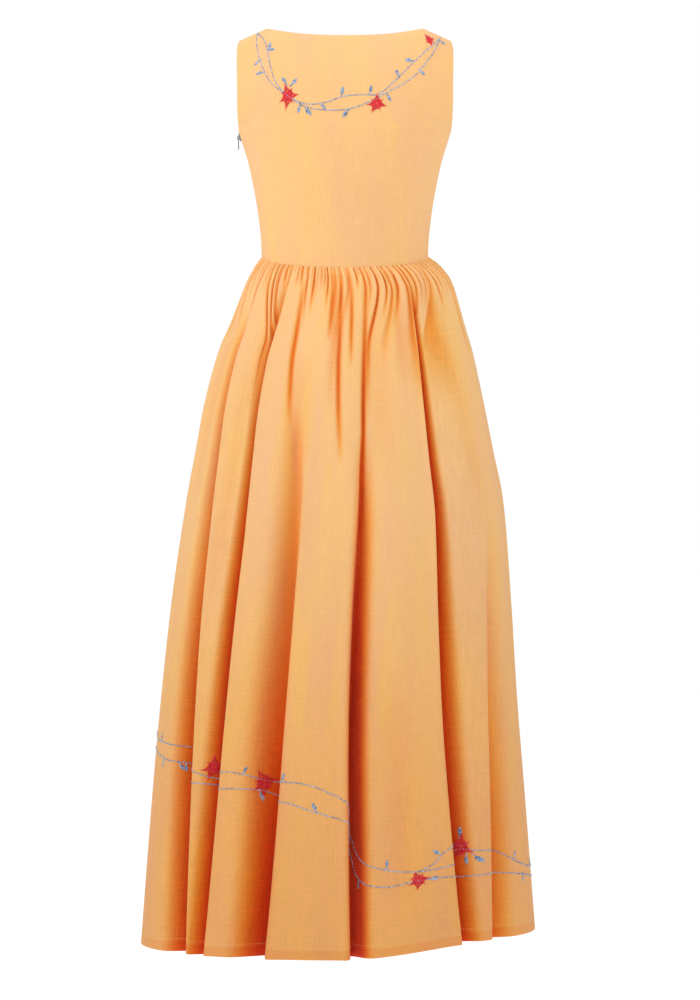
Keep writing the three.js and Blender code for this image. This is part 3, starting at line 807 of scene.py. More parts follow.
def slub_cotton():
    nodes = Finish("slub_cotton")
    cloth_map = nodes.add("ShaderNodeUVMap", uv_map="cloth").outputs["UV"]
    hollow = nodes.add("ShaderNodeAttribute", attribute_name="hollow").outputs["Fac"]
    weft = nodes.noise(cloth_map, WEFT_SLUBS, detail=3.0, roughness=0.65)
    warp = nodes.noise(cloth_map, WARP_SLUBS, detail=3.0, roughness=0.65)
    shimmer = nodes.noise(cloth_map, SHIMMER, detail=2.0)
    patches = nodes.noise(cloth_map, PATCHES, detail=1.0)
    yarn_share = nodes.math("MULTIPLY_ADD", shimmer, YARN_CONTRAST, (1 - YARN_CONTRAST) / 2)
    yarns = nodes.mix(yarn_share, PINK_YARN, YELLOW_YARN)
    colour = nodes.mix(YARN_SHARE, PEACH, yarns)
    level = nodes.add("ShaderNodeSeparateXYZ", {"Vector": cloth_map}).outputs["Y"]
    hem = nodes.math("MULTIPLY", nodes.math("LESS_THAN", level, HEM_LEVEL), HEM_SHARE)
    colour = nodes.mix(hem, colour, HEM_ORANGE)
    slubs = nodes.math("ADD", weft, warp)
    tone = nodes.math("MULTIPLY_ADD", slubs, SLUB_CONTRAST, DARKEST)
    tone = nodes.math("MULTIPLY_ADD", patches, PATCH_CONTRAST, tone)
    grey = nodes.add("ShaderNodeCombineColor", {"Red": tone, "Green": tone, "Blue": tone})
    colour = nodes.mix(1.0, colour, grey.outputs[0], blend="MULTIPLY")
    # painted shade: where the mesh's hollow value is high, the base colour is raised to a higher power,
    # darker and more orange
    power = nodes.math("MULTIPLY_ADD", hollow, BOUNCES, 1.0)
    nodes.fill(nodes.surface, {
        "Base Color": nodes.add("ShaderNodeGamma", {"Color": colour, "Gamma": power}).outputs[0],
        "Roughness": 0.86, "Specular IOR Level": 0.2, "Sheen Weight": 0.12, "Sheen Roughness": 0.5,
        "Normal": nodes.bump(slubs, strength=0.35, distance=0.0003)})
    return nodes.material


cotton = slub_cotton()
print("cotton nodes", len(cotton.node_tree.nodes))

# %% [markdown]
# ## The bodice panels
# The back and front bodice are built from the same grid. Its side columns are turned in at the
# seams and armholes, its top row at the neck and shoulders, and its bottom row at the waist.

# %% Bodice panels
BODICE_COLUMNS = 150
BODICE_ROWS = 110
HALF_GIRTH = 142  # about half of a panel's width on the cloth
BODICE_HEIGHT = 272
TOP_INSIDE = 0.9985  # of the rise, because the top edge is too steep to measure
CALM_AT_WAIST = 0.04
ZIP_RIDGE = 0.6
ZIP_RIDGE_WIDTH = 6
ZIP_SIDE_X = (60, 100)
ZIP_TOP_Z = (-118, -112)


def turned_line(count, size):
    """Places from 0 to size mm with both ends turned in, and how far inside each lies."""
    back, inside = turned(SEAM_TURN)
    middle = np.linspace(ROLL_RADIUS, size - ROLL_RADIUS, count)[1:-1]
    places = np.concatenate([back[::-1], middle, size - back])
    return places, np.concatenate([inside[::-1], np.zeros(len(middle)), inside])


def bodice_grid(name):
    """Points of a bodice panel, their places on the cloth, and their painted shade in folds, which is 0."""
    side = PANELS[name]["side"]
    places, in_across = turned_line(BODICE_COLUMNS, 2 * HALF_GIRTH)
    heights, in_up = turned_line(BODICE_ROWS, BODICE_HEIGHT)
    across = (places / HALF_GIRTH - 1)[None, :].repeat(len(heights), 0) * -side
    rise = (heights / BODICE_HEIGHT)[::-1, None].repeat(len(places), 1)
    base = bodice_surface(name, across, rise)
    x, y, z = base[..., 0], base[..., 1], base[..., 2]
    normal = surface_normal(lambda u, v: bodice_surface(name, u, v),
                            np.clip(across, INSIDE - 1, 1 - INSIDE),
                            np.clip(rise, INSIDE, TOP_INSIDE), -side)
    relief = np.zeros(across.shape)
    for row in BODICE_CREASES[name]:
        relief += crease_relief(x, z, *row)
    relief *= smoothstep(rise, 0, CALM_AT_WAIST)
    beside_zip = smoothstep(-x, *ZIP_SIDE_X) * (1 - smoothstep(z, *ZIP_TOP_Z))
    relief += ZIP_RIDGE * beside_zip * np.exp(-((y / ZIP_RIDGE_WIDTH) ** 2))
    inwards = np.maximum(in_across[None, :], in_up[::-1, None])
    points = base + normal * (relief - inwards)[..., None]
    cloth = np.stack([across * HALF_GIRTH, rise * BODICE_HEIGHT], -1)
    return points, cloth, np.zeros(across.shape)


bodices = {name: make_panel(f"bodice_{name}", cotton, *bodice_grid(name)) for name in PANELS}
print("bodice faces", {name: len(made[0].data.polygons) for name, made in bodices.items()})

# %% [markdown]
# ## The skirt panels
# The skirt's rows are close together under the seam, where the gathers change quickly, and wider
# apart towards the hem. Above the first row the cloth tucks up behind the bodice.

# %% Skirt panels
SKIRT_ROWS = 104
FIRST_ROW = 1.7
TUCK_ROWS = [(4.5, 2.2), (0.7, 0.9)]  # up from the seam, and inwards
PAST_SEAM = 0.01  # radians past the side seam, where the panel's own section is measured
# painted shade for the cloth's colour: darker where a fold's hollow is steep and along creases, and a
# little darker everywhere towards the hem
PAINTED_SHADE_FULL = 2.1  # as steep as the darkest hollow
PAINTED_SHADE_POWER = 1.1
CREASE_FULL = 4.0
CREASE_PAINTED_SHADE = 0.55
LOW_PAINTED_SHADE = 0.1  # the lower skirt's wide folds face one another everywhere
LOW_DROPS = (240, 800)


def skirt_rows():
    """Levels of the rows below the seam and how far in each lies, with the hem turned up."""
    share = np.linspace(0, 1, SKIRT_ROWS)
    even = FIRST_ROW * (SKIRT_ROWS - 1) / SKIRT_LENGTH
    drops = (SKIRT_LENGTH - ROLL_RADIUS) * (even * share + (1 - even) * share**2)
    back, inwards = turned(HEM_TURN)
    above = np.zeros(SKIRT_ROWS - 1)
    return np.concatenate([drops[:-1], SKIRT_LENGTH - back]), np.concatenate([above, inwards])


def skirt_columns(name, drop):
    """Angles of the columns at one level, with both side edges turned in."""
    angles = column_angles(name, drop)
    _, depth, _ = section_at(angles[0] + PAST_SEAM, drop)
    back = turned(SEAM_TURN)[0] / depth  # beside a side seam a radian is as long as the depth
    low = angles[0] + back[::-1]
    high = angles[-1] - back
    return np.concatenate([low, np.clip(angles[1:-1], low[-1] + STEP, high[0] - STEP), high])


def skirt_relief(name, angle, drop, place):
    """How far gathers and creases stand out, and how much painted shade the hollows get, from 0 to 1."""
    _, steep = folded_plan(angle, drop)
    relief, creased = gather_relief(name, place, drop)
    reach = along(SKIRT_SECTIONS, "drop", "half_width", drop)
    for row in SKIRT_CREASES:
        line = skirt_crease(row, angle, drop, reach)
        relief = relief + line
        steep = steep + np.maximum(0, -line) / row["width"]
    # the painted shade of folds, gather creases and the lower skirt, from 0 to 1
    hollow = np.clip(steep / PAINTED_SHADE_FULL, 0, 1) ** PAINTED_SHADE_POWER
    hollow = hollow + CREASE_PAINTED_SHADE * np.clip(creased / CREASE_FULL, 0, 1)
    hollow = hollow + LOW_PAINTED_SHADE * smoothstep(drop, *LOW_DROPS)
    return relief, np.clip(hollow, 0, 1)


def skirt_grid(name):
    """Points of a skirt panel, their places on the cloth, and how much painted shade the hollow gets there.
    """
    drops, in_down = skirt_rows()
    angle = np.array([skirt_columns(name, drop) for drop in drops])
    rows, cols = angle.shape
    fall = (drops / SKIRT_LENGTH)[:, None].repeat(cols, 1)
    _, inside = turned(SEAM_TURN)
    main = cols - 2 * len(inside)
    in_across = np.concatenate([inside[::-1], np.zeros(main), inside])
    number = np.clip(np.arange(cols) - len(inside) + 1, 0, main + 1)
    place = (number / (COLUMNS_PER_GATHER * FINER))[None, :].repeat(rows, 0)
    base = skirt_surface(angle, fall)
    normal = surface_normal(skirt_surface, angle, np.clip(fall, INSIDE, 1 - INSIDE), -1)
    drop = waist_z(np.abs(np.sin(angle))) - base[..., 2]
    relief, hollow = skirt_relief(name, angle, drop, place)
    inwards = np.maximum(in_across[None, :], in_down[:, None])
    points = base + normal * (relief - inwards)[..., None]
    level = unit(normal[0] * [1, 1, 0])
    tuck = np.array([points[0] + [0, 0, up] - level * inward for up, inward in TUCK_ROWS])
    points = np.concatenate([tuck, points])
    hollow = np.concatenate([hollow[:1].repeat(len(TUCK_ROWS), 0), hollow])
    hem_row = -1 - len(TURN_SHARES)
    hem_arc = arc_lengths(points)[hem_row]
    down = np.array([*(-up for up, _ in TUCK_ROWS), *drops])
    cloth = np.stack(np.broadcast_arrays(hem_arc[None, :], -down[:, None]), -1)
    return points, cloth, hollow


skirts = {name: make_panel(f"skirt_{name}", cotton, *skirt_grid(name)) for name in PANELS}
print("skirt faces", {name: len(made[0].data.polygons) for name, made in skirts.items()})

# %% [markdown]
# ## From the flat cloth to the dress
# Embroidery is worked on the flat panels before they are sewn, so it is laid out here on the flat
# map, in millimetres along the panel and up it, and then carried to the folded surface. A real
# panel could be scanned for this; the grid that the panel was made from gives the same thing.

# %% Places on the cloth
LAST_CELL = 1.001  # a place stays just inside the grid's last cell


class Cloth:
    """The outside of one panel, where stitches are placed by their place on the flat cloth."""

    def __init__(self, points, cloth, rows, cols):
        points, cloth = points[rows, cols], cloth[rows, cols]
        along, up = cloth[0, :, 0], cloth[:, 0, 1]
        if along[0] > along[-1]:
            points, along = points[:, ::-1], along[::-1]
        if up[0] > up[-1]:
            points, up = points[::-1], up[::-1]
        self.points, self.along, self.up = points, along, up
        normals = unit(np.cross(np.gradient(points, axis=1), np.gradient(points, axis=0)))
        self.normals = normals * np.sign(np.sum(normals[..., :2] * points[..., :2]))

    def at(self, places, lift=0.0):
        """Points on the panel at places on its flat map, each lifted off the cloth, in mm."""
        along, up = np.asarray(places, dtype=float).T
        cols, rows = len(self.along), len(self.up)
        col = np.clip(np.interp(along, self.along, np.arange(cols)), 0, cols - LAST_CELL)
        row = np.clip(np.interp(up, self.up, np.arange(rows)), 0, rows - LAST_CELL)
        i, j = row.astype(int), col.astype(int)
        s, t = (row - i)[:, None], (col - j)[:, None]

        def between(grid):
            low = lerp(grid[i, j], grid[i, j + 1], t)
            high = lerp(grid[i + 1, j], grid[i + 1, j + 1], t)
            return lerp(low, high, s)

        lifts = np.broadcast_to(lift, len(row))[:, None]
        return between(self.points) + between(self.normals) * lifts


TURNED = len(turned(SEAM_TURN)[0])
PLAIN = slice(TURNED, -TURNED)
cloths = {}
for name in PANELS:
    cloths[f"bodice_{name}"] = Cloth(*bodices[name][1:], PLAIN, PLAIN)
    cloths[f"skirt_{name}"] = Cloth(*skirts[name][1:], slice(len(TUCK_ROWS), -TURNED), PLAIN)
hems = {key: round(float(cloth.along[-1])) for key, cloth in cloths.items() if "skirt" in key}
print("hem widths in mm", hems)

# %% [markdown]
# ## The embroidery's layout
# Two lines of stitches wander side by side as a vine, round the neck as a garland and round the
# skirt above the hem, and on the front one climbs. Small leaves grow from them on short stalks, and
# star-shaped flowers sit where they meet. The back follows the photograph, and the front, which it
# doesn't show, is laid out in the same way. On the bodice a place is (along from the middle, up
# from the waist). On the skirt it is (along from the side seam, up from the hem).

# %% Vines, leaves and flowers on the flat panels
VINES = {
    "bodice_back": [
        [(-106, 268), (-95, 255), (-90, 242), (-86, 224), (-78, 207), (-62, 194), (-40, 187), (-20, 190),
         (-2, 197), (18, 199), (36, 199), (57, 214), (78, 231), (98, 245), (114, 262)],
        [(-107, 268), (-105, 248), (-99, 226), (-86, 207), (-62, 194), (-42, 184), (-20, 181), (2, 182),
         (22, 189), (48, 201), (72, 211), (90, 223), (104, 240), (118, 266)],
    ],
    "bodice_front": [
        [(-115, 266), (-100, 246), (-84, 233), (-68, 214), (-48, 197), (-26, 188), (-4, 186), (18, 192),
         (40, 196), (62, 204), (78, 219), (88, 240), (98, 256), (107, 268)],
        [(-119, 267), (-108, 240), (-94, 222), (-76, 206), (-50, 190), (-24, 178), (2, 178), (24, 184),
         (46, 188), (70, 199), (88, 214), (98, 234), (105, 252), (108, 268)],
    ],
    "skirt_back": [
        [(3, 258), (38, 252), (75, 250), (113, 248), (150, 243), (182, 230), (212, 215), (245, 212),
         (276, 222), (306, 220), (333, 213), (370, 209), (411, 213), (445, 211), (476, 202), (508, 190),
         (532, 166), (550, 142), (566, 120), (603, 105), (649, 97), (700, 99), (735, 108), (761, 114),
         (786, 110), (817, 106), (850, 92), (899, 81), (938, 79)],
        [(3, 240), (42, 236), (80, 231), (118, 228), (152, 221), (185, 209), (212, 206), (245, 203),
         (276, 202), (306, 203), (333, 200), (372, 190), (423, 188), (465, 176), (508, 166), (532, 148),
         (548, 122), (563, 96), (603, 84), (649, 86), (690, 85), (735, 80), (787, 81), (836, 78),
         (899, 70), (938, 66)],
        [(651, 97), (672, 104), (689, 116), (712, 124), (738, 123), (761, 118)],
    ],
    "skirt_front": [
        [(4, 80), (40, 84), (84, 98), (130, 106), (176, 101), (220, 92), (266, 96), (310, 110), (352, 131),
         (396, 150), (440, 158), (486, 160), (530, 172), (574, 192), (620, 206), (668, 210), (714, 206),
         (758, 214), (806, 232), (850, 248), (896, 258)],
        [(4, 66), (44, 68), (90, 80), (132, 88), (180, 84), (224, 74), (268, 76), (314, 90), (358, 112),
         (400, 130), (444, 138), (490, 140), (534, 152), (580, 172), (624, 186), (670, 190), (716, 186),
         (762, 194), (810, 212), (854, 230), (896, 240)],
        [(88, 98), (98, 130), (92, 170), (72, 206), (62, 244), (74, 282), (96, 316), (104, 352), (92, 390),
         (72, 424), (62, 460), (66, 498), (82, 532), (90, 566)],
        [(98, 102), (112, 136), (108, 172), (90, 208), (78, 246), (88, 280), (108, 312), (118, 350),
         (108, 390), (88, 424), (76, 460), (80, 496), (94, 526), (102, 552)],
        [(104, 316), (130, 330), (152, 352), (164, 380)],
        [(70, 424), (48, 436), (32, 456), (28, 480)],
    ],
}
LEAF_COLUMNS = "along up turn length".split()  # where the stalk starts, degrees from along, mm
LEAVES = {
    "bodice_back": [
        (-90, 243, 65, 9), (-90, 243, 20, 8), (-95, 216, 175, 9), (-64, 206, 128, 9), (-60, 206, 52, 9),
        (-4, 197, 80, 9), (26, 199, 75, 8), (-47, 186, -95, 8), (-42, 184, -50, 10), (-19, 181, 130, 7),
        (4, 182, -125, 9), (45, 199, -70, 8), (79, 232, 160, 10), (86, 221, -50, 8), (116, 262, -10, 8),
        (60, 216, 110, 8), (-100, 232, -160, 8),
    ],
    "bodice_front": [
        (-97, 244, 75, 9), (-104, 234, -160, 9), (-68, 214, 70, 9), (-50, 190, -100, 9), (-24, 188, 100, 9),
        (-4, 178, -60, 9), (16, 192, 70, 8), (42, 188, -100, 9), (64, 205, 110, 9), (88, 214, -30, 9),
        (90, 244, 160, 9), (-80, 206, -120, 8), (24, 184, -80, 8),
    ],
    "skirt_back": [
        (112, 228, -50, 10), (121, 228, -80, 9), (62, 250, 70, 9), (82, 231, -115, 9), (245, 212, 75, 8),
        (304, 221, 60, 8), (327, 201, -60, 12), (413, 213, 75, 9), (463, 177, 118, 10), (378, 209, 70, 8),
        (606, 105, 80, 9), (566, 94, -100, 9), (684, 113, 150, 11), (663, 86, 0, 11), (760, 128, 80, 11),
        (766, 108, -95, 10), (773, 108, -50, 12), (845, 94, 65, 9), (870, 75, -75, 9), (530, 148, -120, 9),
        (160, 219, -70, 9), (912, 80, 75, 8),
    ],
    "skirt_front": [
        (40, 84, 100, 9), (62, 72, -80, 9), (130, 106, 70, 9), (180, 84, -70, 10), (220, 92, 80, 9),
        (268, 76, -70, 9), (310, 110, 110, 10), (358, 112, -60, 10), (410, 153, 90, 9), (444, 138, -70, 9),
        (498, 162, 80, 9), (534, 152, -70, 10), (574, 192, 110, 9), (624, 186, -80, 9), (684, 210, 80, 9),
        (716, 186, -90, 10), (770, 217, 110, 9), (810, 212, -60, 9), (856, 249, 90, 9), (872, 235, -70, 9),
        (96, 126, 160, 9), (110, 150, 20, 9), (82, 190, 170, 9), (80, 232, 10, 9), (62, 250, 150, 10),
        (92, 286, -20, 10), (86, 300, 140, 9), (118, 350, 10, 9), (104, 352, 160, 9), (98, 408, 20, 9),
        (76, 418, 150, 9), (77, 460, 0, 10), (62, 462, 170, 9), (66, 498, 150, 9), (86, 512, 10, 9),
        (82, 532, 130, 10), (130, 330, -50, 9), (150, 350, 110, 9), (164, 380, 90, 10), (164, 380, 40, 9),
        (40, 446, -130, 9), (28, 480, 100, 10), (90, 566, 100, 11), (102, 552, 50, 11),
    ],
}
FLOWER_COLUMNS = "along up width height turn".split()
FLOWERS = {
    "bodice_back": [(-62, 194, 22, 26, 12), (33, 188, 20, 20, -20), (100, 257, 16, 13, 35)],
    "bodice_front": [
        (-58, 200, 22, 24, -15), (56, 195, 21, 23, 25), (2, 181, 20, 19, 0), (-99, 248, 18, 18, 30),
    ],
    "skirt_back": [
        (218, 226, 26, 27, -10), (333, 210, 36, 30, 15), (649, 87, 30, 20, 5), (761, 117, 25, 31, -25),
    ],
    "skirt_front": [
        (106, 104, 24, 24, 20), (268, 86, 26, 22, -12), (398, 140, 24, 25, 30), (552, 170, 25, 23, -18),
        (692, 198, 24, 26, 8), (830, 230, 24, 24, 24), (74, 282, 21, 23, -8), (110, 352, 20, 22, 28),
        (66, 424, 21, 21, -24), (84, 496, 19, 20, 14), (168, 386, 18, 19, 5),
    ],
}


def smooth_line(places, step):
    """A smooth curve through places on the flat cloth, as places about a step apart."""
    places = np.array(places, dtype=float)
    padded = np.concatenate([2 * places[:1] - places[1:2], places, 2 * places[-1:] - places[-2:-1]])
    made = []
    for a, b, c, d in zip(padded, padded[1:], padded[2:], padded[3:]):
        count = max(2, int(np.linalg.norm(c - b) / step))
        t = np.linspace(0, 1, count, endpoint=False)[:, None]
        made.append(0.5 * (2 * b + (c - a) * t + (2 * a - 5 * b + 4 * c - d) * t**2
                           + (3 * b - a - 3 * c + d) * t**3))
    return np.concatenate([*made, places[-1:]])


for key in VINES:
    print(key, len(VINES[key]), "lines", len(LEAVES[key]), "leaves", len(FLOWERS[key]), "flowers")

# %% [markdown]
# ## Satin stitch
# A leaf is filled with threads laid side by side across it on a slant, and a petal with threads
# that fan out along it. Each thread goes in at one edge and out at the other and lies highest in
# the middle, so the filled shape is slightly domed. Each is one short line here.

# %% Threads of leaves and petals
THREAD_SPACING = 0.5
THREAD_LIFT = 0.35
THREAD_POINTS = np.linspace(-1, 1, 5)
DOME = 0.45
LEAF_SHARE = 0.44  # a leaf's width as a share of its length
LEAF_SLANT = 0.35
LEAF_ENDS = (0.04, 0.96)
LEAF_FULLEST = 0.85  # below 1, so that a leaf is widest before its middle
STALK_SHARE = 0.3
STALK_POINTS = 4
PETALS = [1.0, 0.74, 1.08, 0.7, 0.95, 1.12, 0.72]  # how far each reaches
PETAL_SHARE = 0.64  # a petal's width as a share of its reach
PETAL_THREADS = 10
PETAL_POINTS = 6
PETAL_ROOT = 0.05
PETAL_ROOT_WIDTH = 0.12
PETAL_FULLEST = 0.75
PETAL_SIDES = 0.36  # how much shorter a petal is at its sides
PETAL_DOME = 1.6
PETAL_DOME_SPAN = (0.15, 0.95)
FLOWER_REACH = 0.56  # a petal's reach as a share of the flower's width


def heading(degrees):
    """Steps of one millimetre along a direction on the flat cloth and across it."""
    turn = math.radians(degrees)
    ahead = np.array([math.cos(turn), math.sin(turn)])
    return ahead, np.array([-ahead[1], ahead[0]])


def leaf_threads(cloth, along, up, turn, length):
    """The stalk's line and the threads of one leaf."""
    ahead, across = heading(turn)
    start = np.array([along, up], dtype=float)
    stalk = start + ahead * np.linspace(0, STALK_SHARE * length, STALK_POINTS)[:, None]
    threads = []
    for share in np.linspace(*LEAF_ENDS, int(length / THREAD_SPACING)):
        half = LEAF_SHARE * length / 2 * math.sin(math.pi * share**LEAF_FULLEST)
        middle = start + ahead * length * (STALK_SHARE + share)
        places = middle + THREAD_POINTS[:, None] * half * (across + LEAF_SLANT * ahead)
        threads.append(cloth.at(places, THREAD_LIFT + DOME * (1 - THREAD_POINTS**2)))
    return stalk, threads


def flower_threads(cloth, along, up, width, height, turn):
    """The threads of a star flower, petal by petal."""
    middle = np.array([along, up], dtype=float)
    size = np.array([width, height]) * FLOWER_REACH
    share = np.linspace(0, 1, PETAL_POINTS)
    shape = np.sin(np.pi * lerp(PETAL_ROOT_WIDTH, 1, share) ** PETAL_FULLEST)
    arch = np.sin(np.pi * lerp(*PETAL_DOME_SPAN, share))
    threads = []
    for number, reach in enumerate(PETALS):
        ahead, across = heading(turn + 360 * number / len(PETALS))
        half = 0.5 * PETAL_SHARE * reach * shape
        for side in np.linspace(-1, 1, PETAL_THREADS):
            tip = reach * (1 - PETAL_SIDES * abs(side))
            out = ahead * (PETAL_ROOT + tip * share)[:, None] + across * (side * half)[:, None]
            dome = DOME * (PETAL_DOME - side**2) * arch
            threads.append(cloth.at(middle + size * out, THREAD_LIFT + dome))
    return threads


# %% [markdown]
# ## Geometry Nodes for stitches and threads
# The first tree walks along a line and lays one rounded stitch after another on it, as a needle
# does. The second turns each line into a thin round thread. Both take their sizes as inputs, and
# end as plain meshes.

# %% Stitch and thread trees


def start_tree(name, sizes):
    """A Geometry Nodes tree, its inputs with one for each named size, and its edges as a curve."""
    tree = bpy.data.node_groups.new(name, "GeometryNodeTree")
    kinds = {"Geometry": "Geometry", **dict.fromkeys(sizes, "Float"), "Material": "Material"}
    for title, kind in kinds.items():
        tree.interface.new_socket(title, in_out="INPUT", socket_type=f"NodeSocket{kind}")
    tree.interface.new_socket("Geometry", in_out="OUTPUT", socket_type="NodeSocketGeometry")
    nodes = Nodes(tree)
    given = nodes.add("NodeGroupInput").outputs
    curve = nodes.add("GeometryNodeMeshToCurve", {"Mesh": given["Geometry"]}).outputs["Curve"]
    return nodes, given, curve


def end_tree(nodes, given, geometry):
    """Makes what a tree has grown real, smooth and coloured, and hands it out."""
    for kind in ("GeometryNodeRealizeInstances", "GeometryNodeSetShadeSmooth"):
        geometry = nodes.add(kind, {"Geometry": geometry}).outputs["Geometry"]
    values = {"Geometry": geometry, "Material": given["Material"]}
    coloured = nodes.add("GeometryNodeSetMaterial", values)
    nodes.add("NodeGroupOutput", {"Geometry": coloured.outputs["Geometry"]})
    return nodes.tree


def stitch_tree():
    sizes = ["Pitch", "Stitch Length", "Stitch Width"]
    nodes, given, curve = start_tree("stitches_along_a_line", sizes)
    spaced = nodes.add("GeometryNodeResampleCurve",
                       {"Curve": curve, "Length": given["Pitch"]}, mode="LENGTH")
    tangent = nodes.add("GeometryNodeInputTangent").outputs["Tangent"]
    turned_to = nodes.add("FunctionNodeAlignRotationToVector", {"Vector": tangent}, axis="Z")
    grain = nodes.add("GeometryNodeMeshUVSphere", {"Segments": 6, "Rings": 5, "Radius": 0.5})
    width, length = given["Stitch Width"], given["Stitch Length"]
    size = nodes.add("ShaderNodeCombineXYZ", {"X": width, "Y": width, "Z": length})
    placed = nodes.add("GeometryNodeInstanceOnPoints", {
        "Points": spaced.outputs["Curve"], "Instance": grain.outputs["Mesh"],
        "Rotation": turned_to.outputs["Rotation"], "Scale": size.outputs["Vector"]})
    return end_tree(nodes, given, placed.outputs["Instances"])


def thread_tree():
    nodes, given, curve = start_tree("threads", ["Thread Radius"])
    ring = nodes.add("GeometryNodeCurvePrimitiveCircle",
                     {"Radius": given["Thread Radius"], "Resolution": 4})
    tube = nodes.add("GeometryNodeCurveToMesh", {
        "Curve": curve, "Profile Curve": ring.outputs["Curve"], "Fill Caps": True})
    return end_tree(nodes, given, tube.outputs["Mesh"])


STITCH_TREE, THREAD_TREE = stitch_tree(), thread_tree()
print("trees", {tree.name: len(tree.nodes) for tree in (STITCH_TREE, THREAD_TREE)})


def lines_object(name, lines):
    """An object whose mesh is only edges, one chain for each line of points in mm."""
    mesh = bpy.data.meshes.new(f"{name}_lines")
    points = np.concatenate(lines) * MM
    ends = np.cumsum([len(line) for line in lines])
    edges = [(i, i + 1) for i in range(len(points) - 1) if i + 1 not in ends]
    mesh.from_pydata(points.tolist(), edges, [])
    return new_object(f"{name}_lines", mesh)


def grown(name, lines, tree, values):
    """Runs a tree on lines and keeps the result as one plain mesh object."""
    source = lines_object(name, lines)
    modifier = source.modifiers.new("grow", "NODES")
    modifier.node_group = tree
    items = [item for item in tree.interface.items_tree if item.in_out == "INPUT"]
    sockets = {item.name: item.identifier for item in items}
    for key, value in values.items():
        modifier[sockets[key]] = value
    evaluated = source.evaluated_get(bpy.context.evaluated_depsgraph_get())
    mesh = bpy.data.meshes.new_from_object(evaluated)
    mesh.name = name
    bpy.data.objects.remove(source)
    return new_object(name, mesh)


# %% [markdown]
# ## Embroidery yarn
# The yarn is stranded cotton with a soft gloss. Its colour changes slightly from stitch to stitch,
# so a small noise mixes in a second colour. On the blue and red yarn that paler colour is partly
# the yarn's own and partly painted highlight, for stitches that lie flatter and catch the light.

# %% Yarn materials
BLUE_YARN = srgb(92, 126, 170)
# the paler second colours of the blue and red yarn are partly painted highlight
BLUE_TONE_AND_HIGHLIGHT = srgb(196, 208, 226)
RED_YARN = srgb(228, 8, 30)
RED_TONE_AND_HIGHLIGHT = srgb(246, 66, 78)
SEWING_THREAD = srgb(246, 196, 136)
SEWING_SHADE = srgb(236, 178, 116)
STRANDS = 2600  # lumps in a metre
SHADE_CONTRAST = 3.4


def yarn(name, colour, shade, lumps):
    """A yarn of two close colours mixed by a noise; on blue and red yarn the paler one is partly painted
    highlight. lumps is how many patches of each there are in a metre.
    """
    nodes = Finish(name)
    place = nodes.add("ShaderNodeTexCoord").outputs["Object"]
    # partly painted highlight: a noise mixes the second colour in, patch by patch
    coarse = nodes.noise(place, lumps, detail=1.0)
    strands = nodes.noise(place, STRANDS, detail=2.0)
    share = nodes.math("MULTIPLY_ADD", coarse, SHADE_CONTRAST, (1 - SHADE_CONTRAST) / 2)
    nodes.fill(nodes.surface, {
        "Base Color": nodes.mix(share, colour, shade), "Roughness": 0.5, "Sheen Weight": 0.05,
        "Normal": nodes.bump(strands, strength=0.4, distance=0.0002)})
    return nodes.material


blue_yarn = yarn("blue_yarn", BLUE_YARN, BLUE_TONE_AND_HIGHLIGHT, 420)
red_yarn = yarn("red_yarn", RED_YARN, RED_TONE_AND_HIGHLIGHT, 380)
sewing_thread = yarn("sewing_thread", SEWING_THREAD, SEWING_SHADE, 300)
print("yarns", [made.name for made in (blue_yarn, red_yarn, sewing_thread)])

# %% [markdown]
# ## The embroidery
# Each panel gets three pieces: the stitched lines with the leaves' stalks, the leaves, and the
# flowers. Each is one mesh, so that it can have its own material. A bump could draw the stitches on
# the cloth, but it would not stand up at the edge of a fold as real thread does.

# %% Embroider the panels
LINE_STEP = 1.0
VINE_LIFT = 0.3
VINE_STITCH = {"Pitch": 3.7 * MM, "Stitch Length": 3.1 * MM, "Stitch Width": 1.9 * MM}
THREAD = {"Thread Radius": 0.29 * MM}


def embroider(key):
    """The stitched lines, leaves and flowers of one panel."""
    cloth = cloths[key]
    length = SKIRT_LENGTH if "skirt" in key else 0  # a skirt's tables start at its hem
    lines = [smooth_line(line, LINE_STEP) - [0, length] for line in VINES[key]]
    leaves = []
    for row in LEAVES[key]:
        leaf = dict(zip(LEAF_COLUMNS, row))
        leaf["up"] -= length
        stalk, threads = leaf_threads(cloth, **leaf)
        lines.append(stalk)
        leaves += threads
    petals = []
    for row in FLOWERS[key]:
        flower = dict(zip(FLOWER_COLUMNS, row))
        flower["up"] -= length
        petals += flower_threads(cloth, **flower)
    stitched = [cloth.at(line, VINE_LIFT) for line in lines]
    blue, red = {"Material": blue_yarn}, {"Material": red_yarn}
    return {
        "vines": grown(f"{key}_vines", stitched, STITCH_TREE, VINE_STITCH | blue),
        "leaves": grown(f"{key}_leaves", leaves, THREAD_TREE, THREAD | blue),
        "flowers": grown(f"{key}_flowers", petals, THREAD_TREE, THREAD | red),
    }


embroidery = {key: embroider(key) for key in cloths}
for key, made in embroidery.items():
    print(key, {kind: len(piece.data.polygons) for kind, piece in made.items()})

# %% [markdown]
# ## The hem's stitching
# The hem is turned up inside and held by a line of small machine stitches that shows on the
# outside, eleven and a half millimetres up. It is grown by the same tree as the vines, with
# smaller and thinner stitches.

# %% Hem stitches
HEM_STITCH = {"Pitch": 3.1 * MM, "Stitch Length": 2.1 * MM, "Stitch Width": 0.55 * MM}
HEM_STITCH_UP = 11.5
HEM_STITCH_LIFT = 0.25


def stitch_hem(name):
    """A line of stitches right across one skirt panel."""
    cloth = cloths[f"skirt_{name}"]
    across = np.arange(cloth.along[0] + 1, cloth.along[-1] - 1, LINE_STEP)
    places = np.stack([across, np.full(len(across), HEM_STITCH_UP - SKIRT_LENGTH)], -1)
    return grown(f"hem_stitches_{name}", [cloth.at(places, HEM_STITCH_LIFT)],
                 STITCH_TREE, HEM_STITCH | {"Material": sewing_thread})


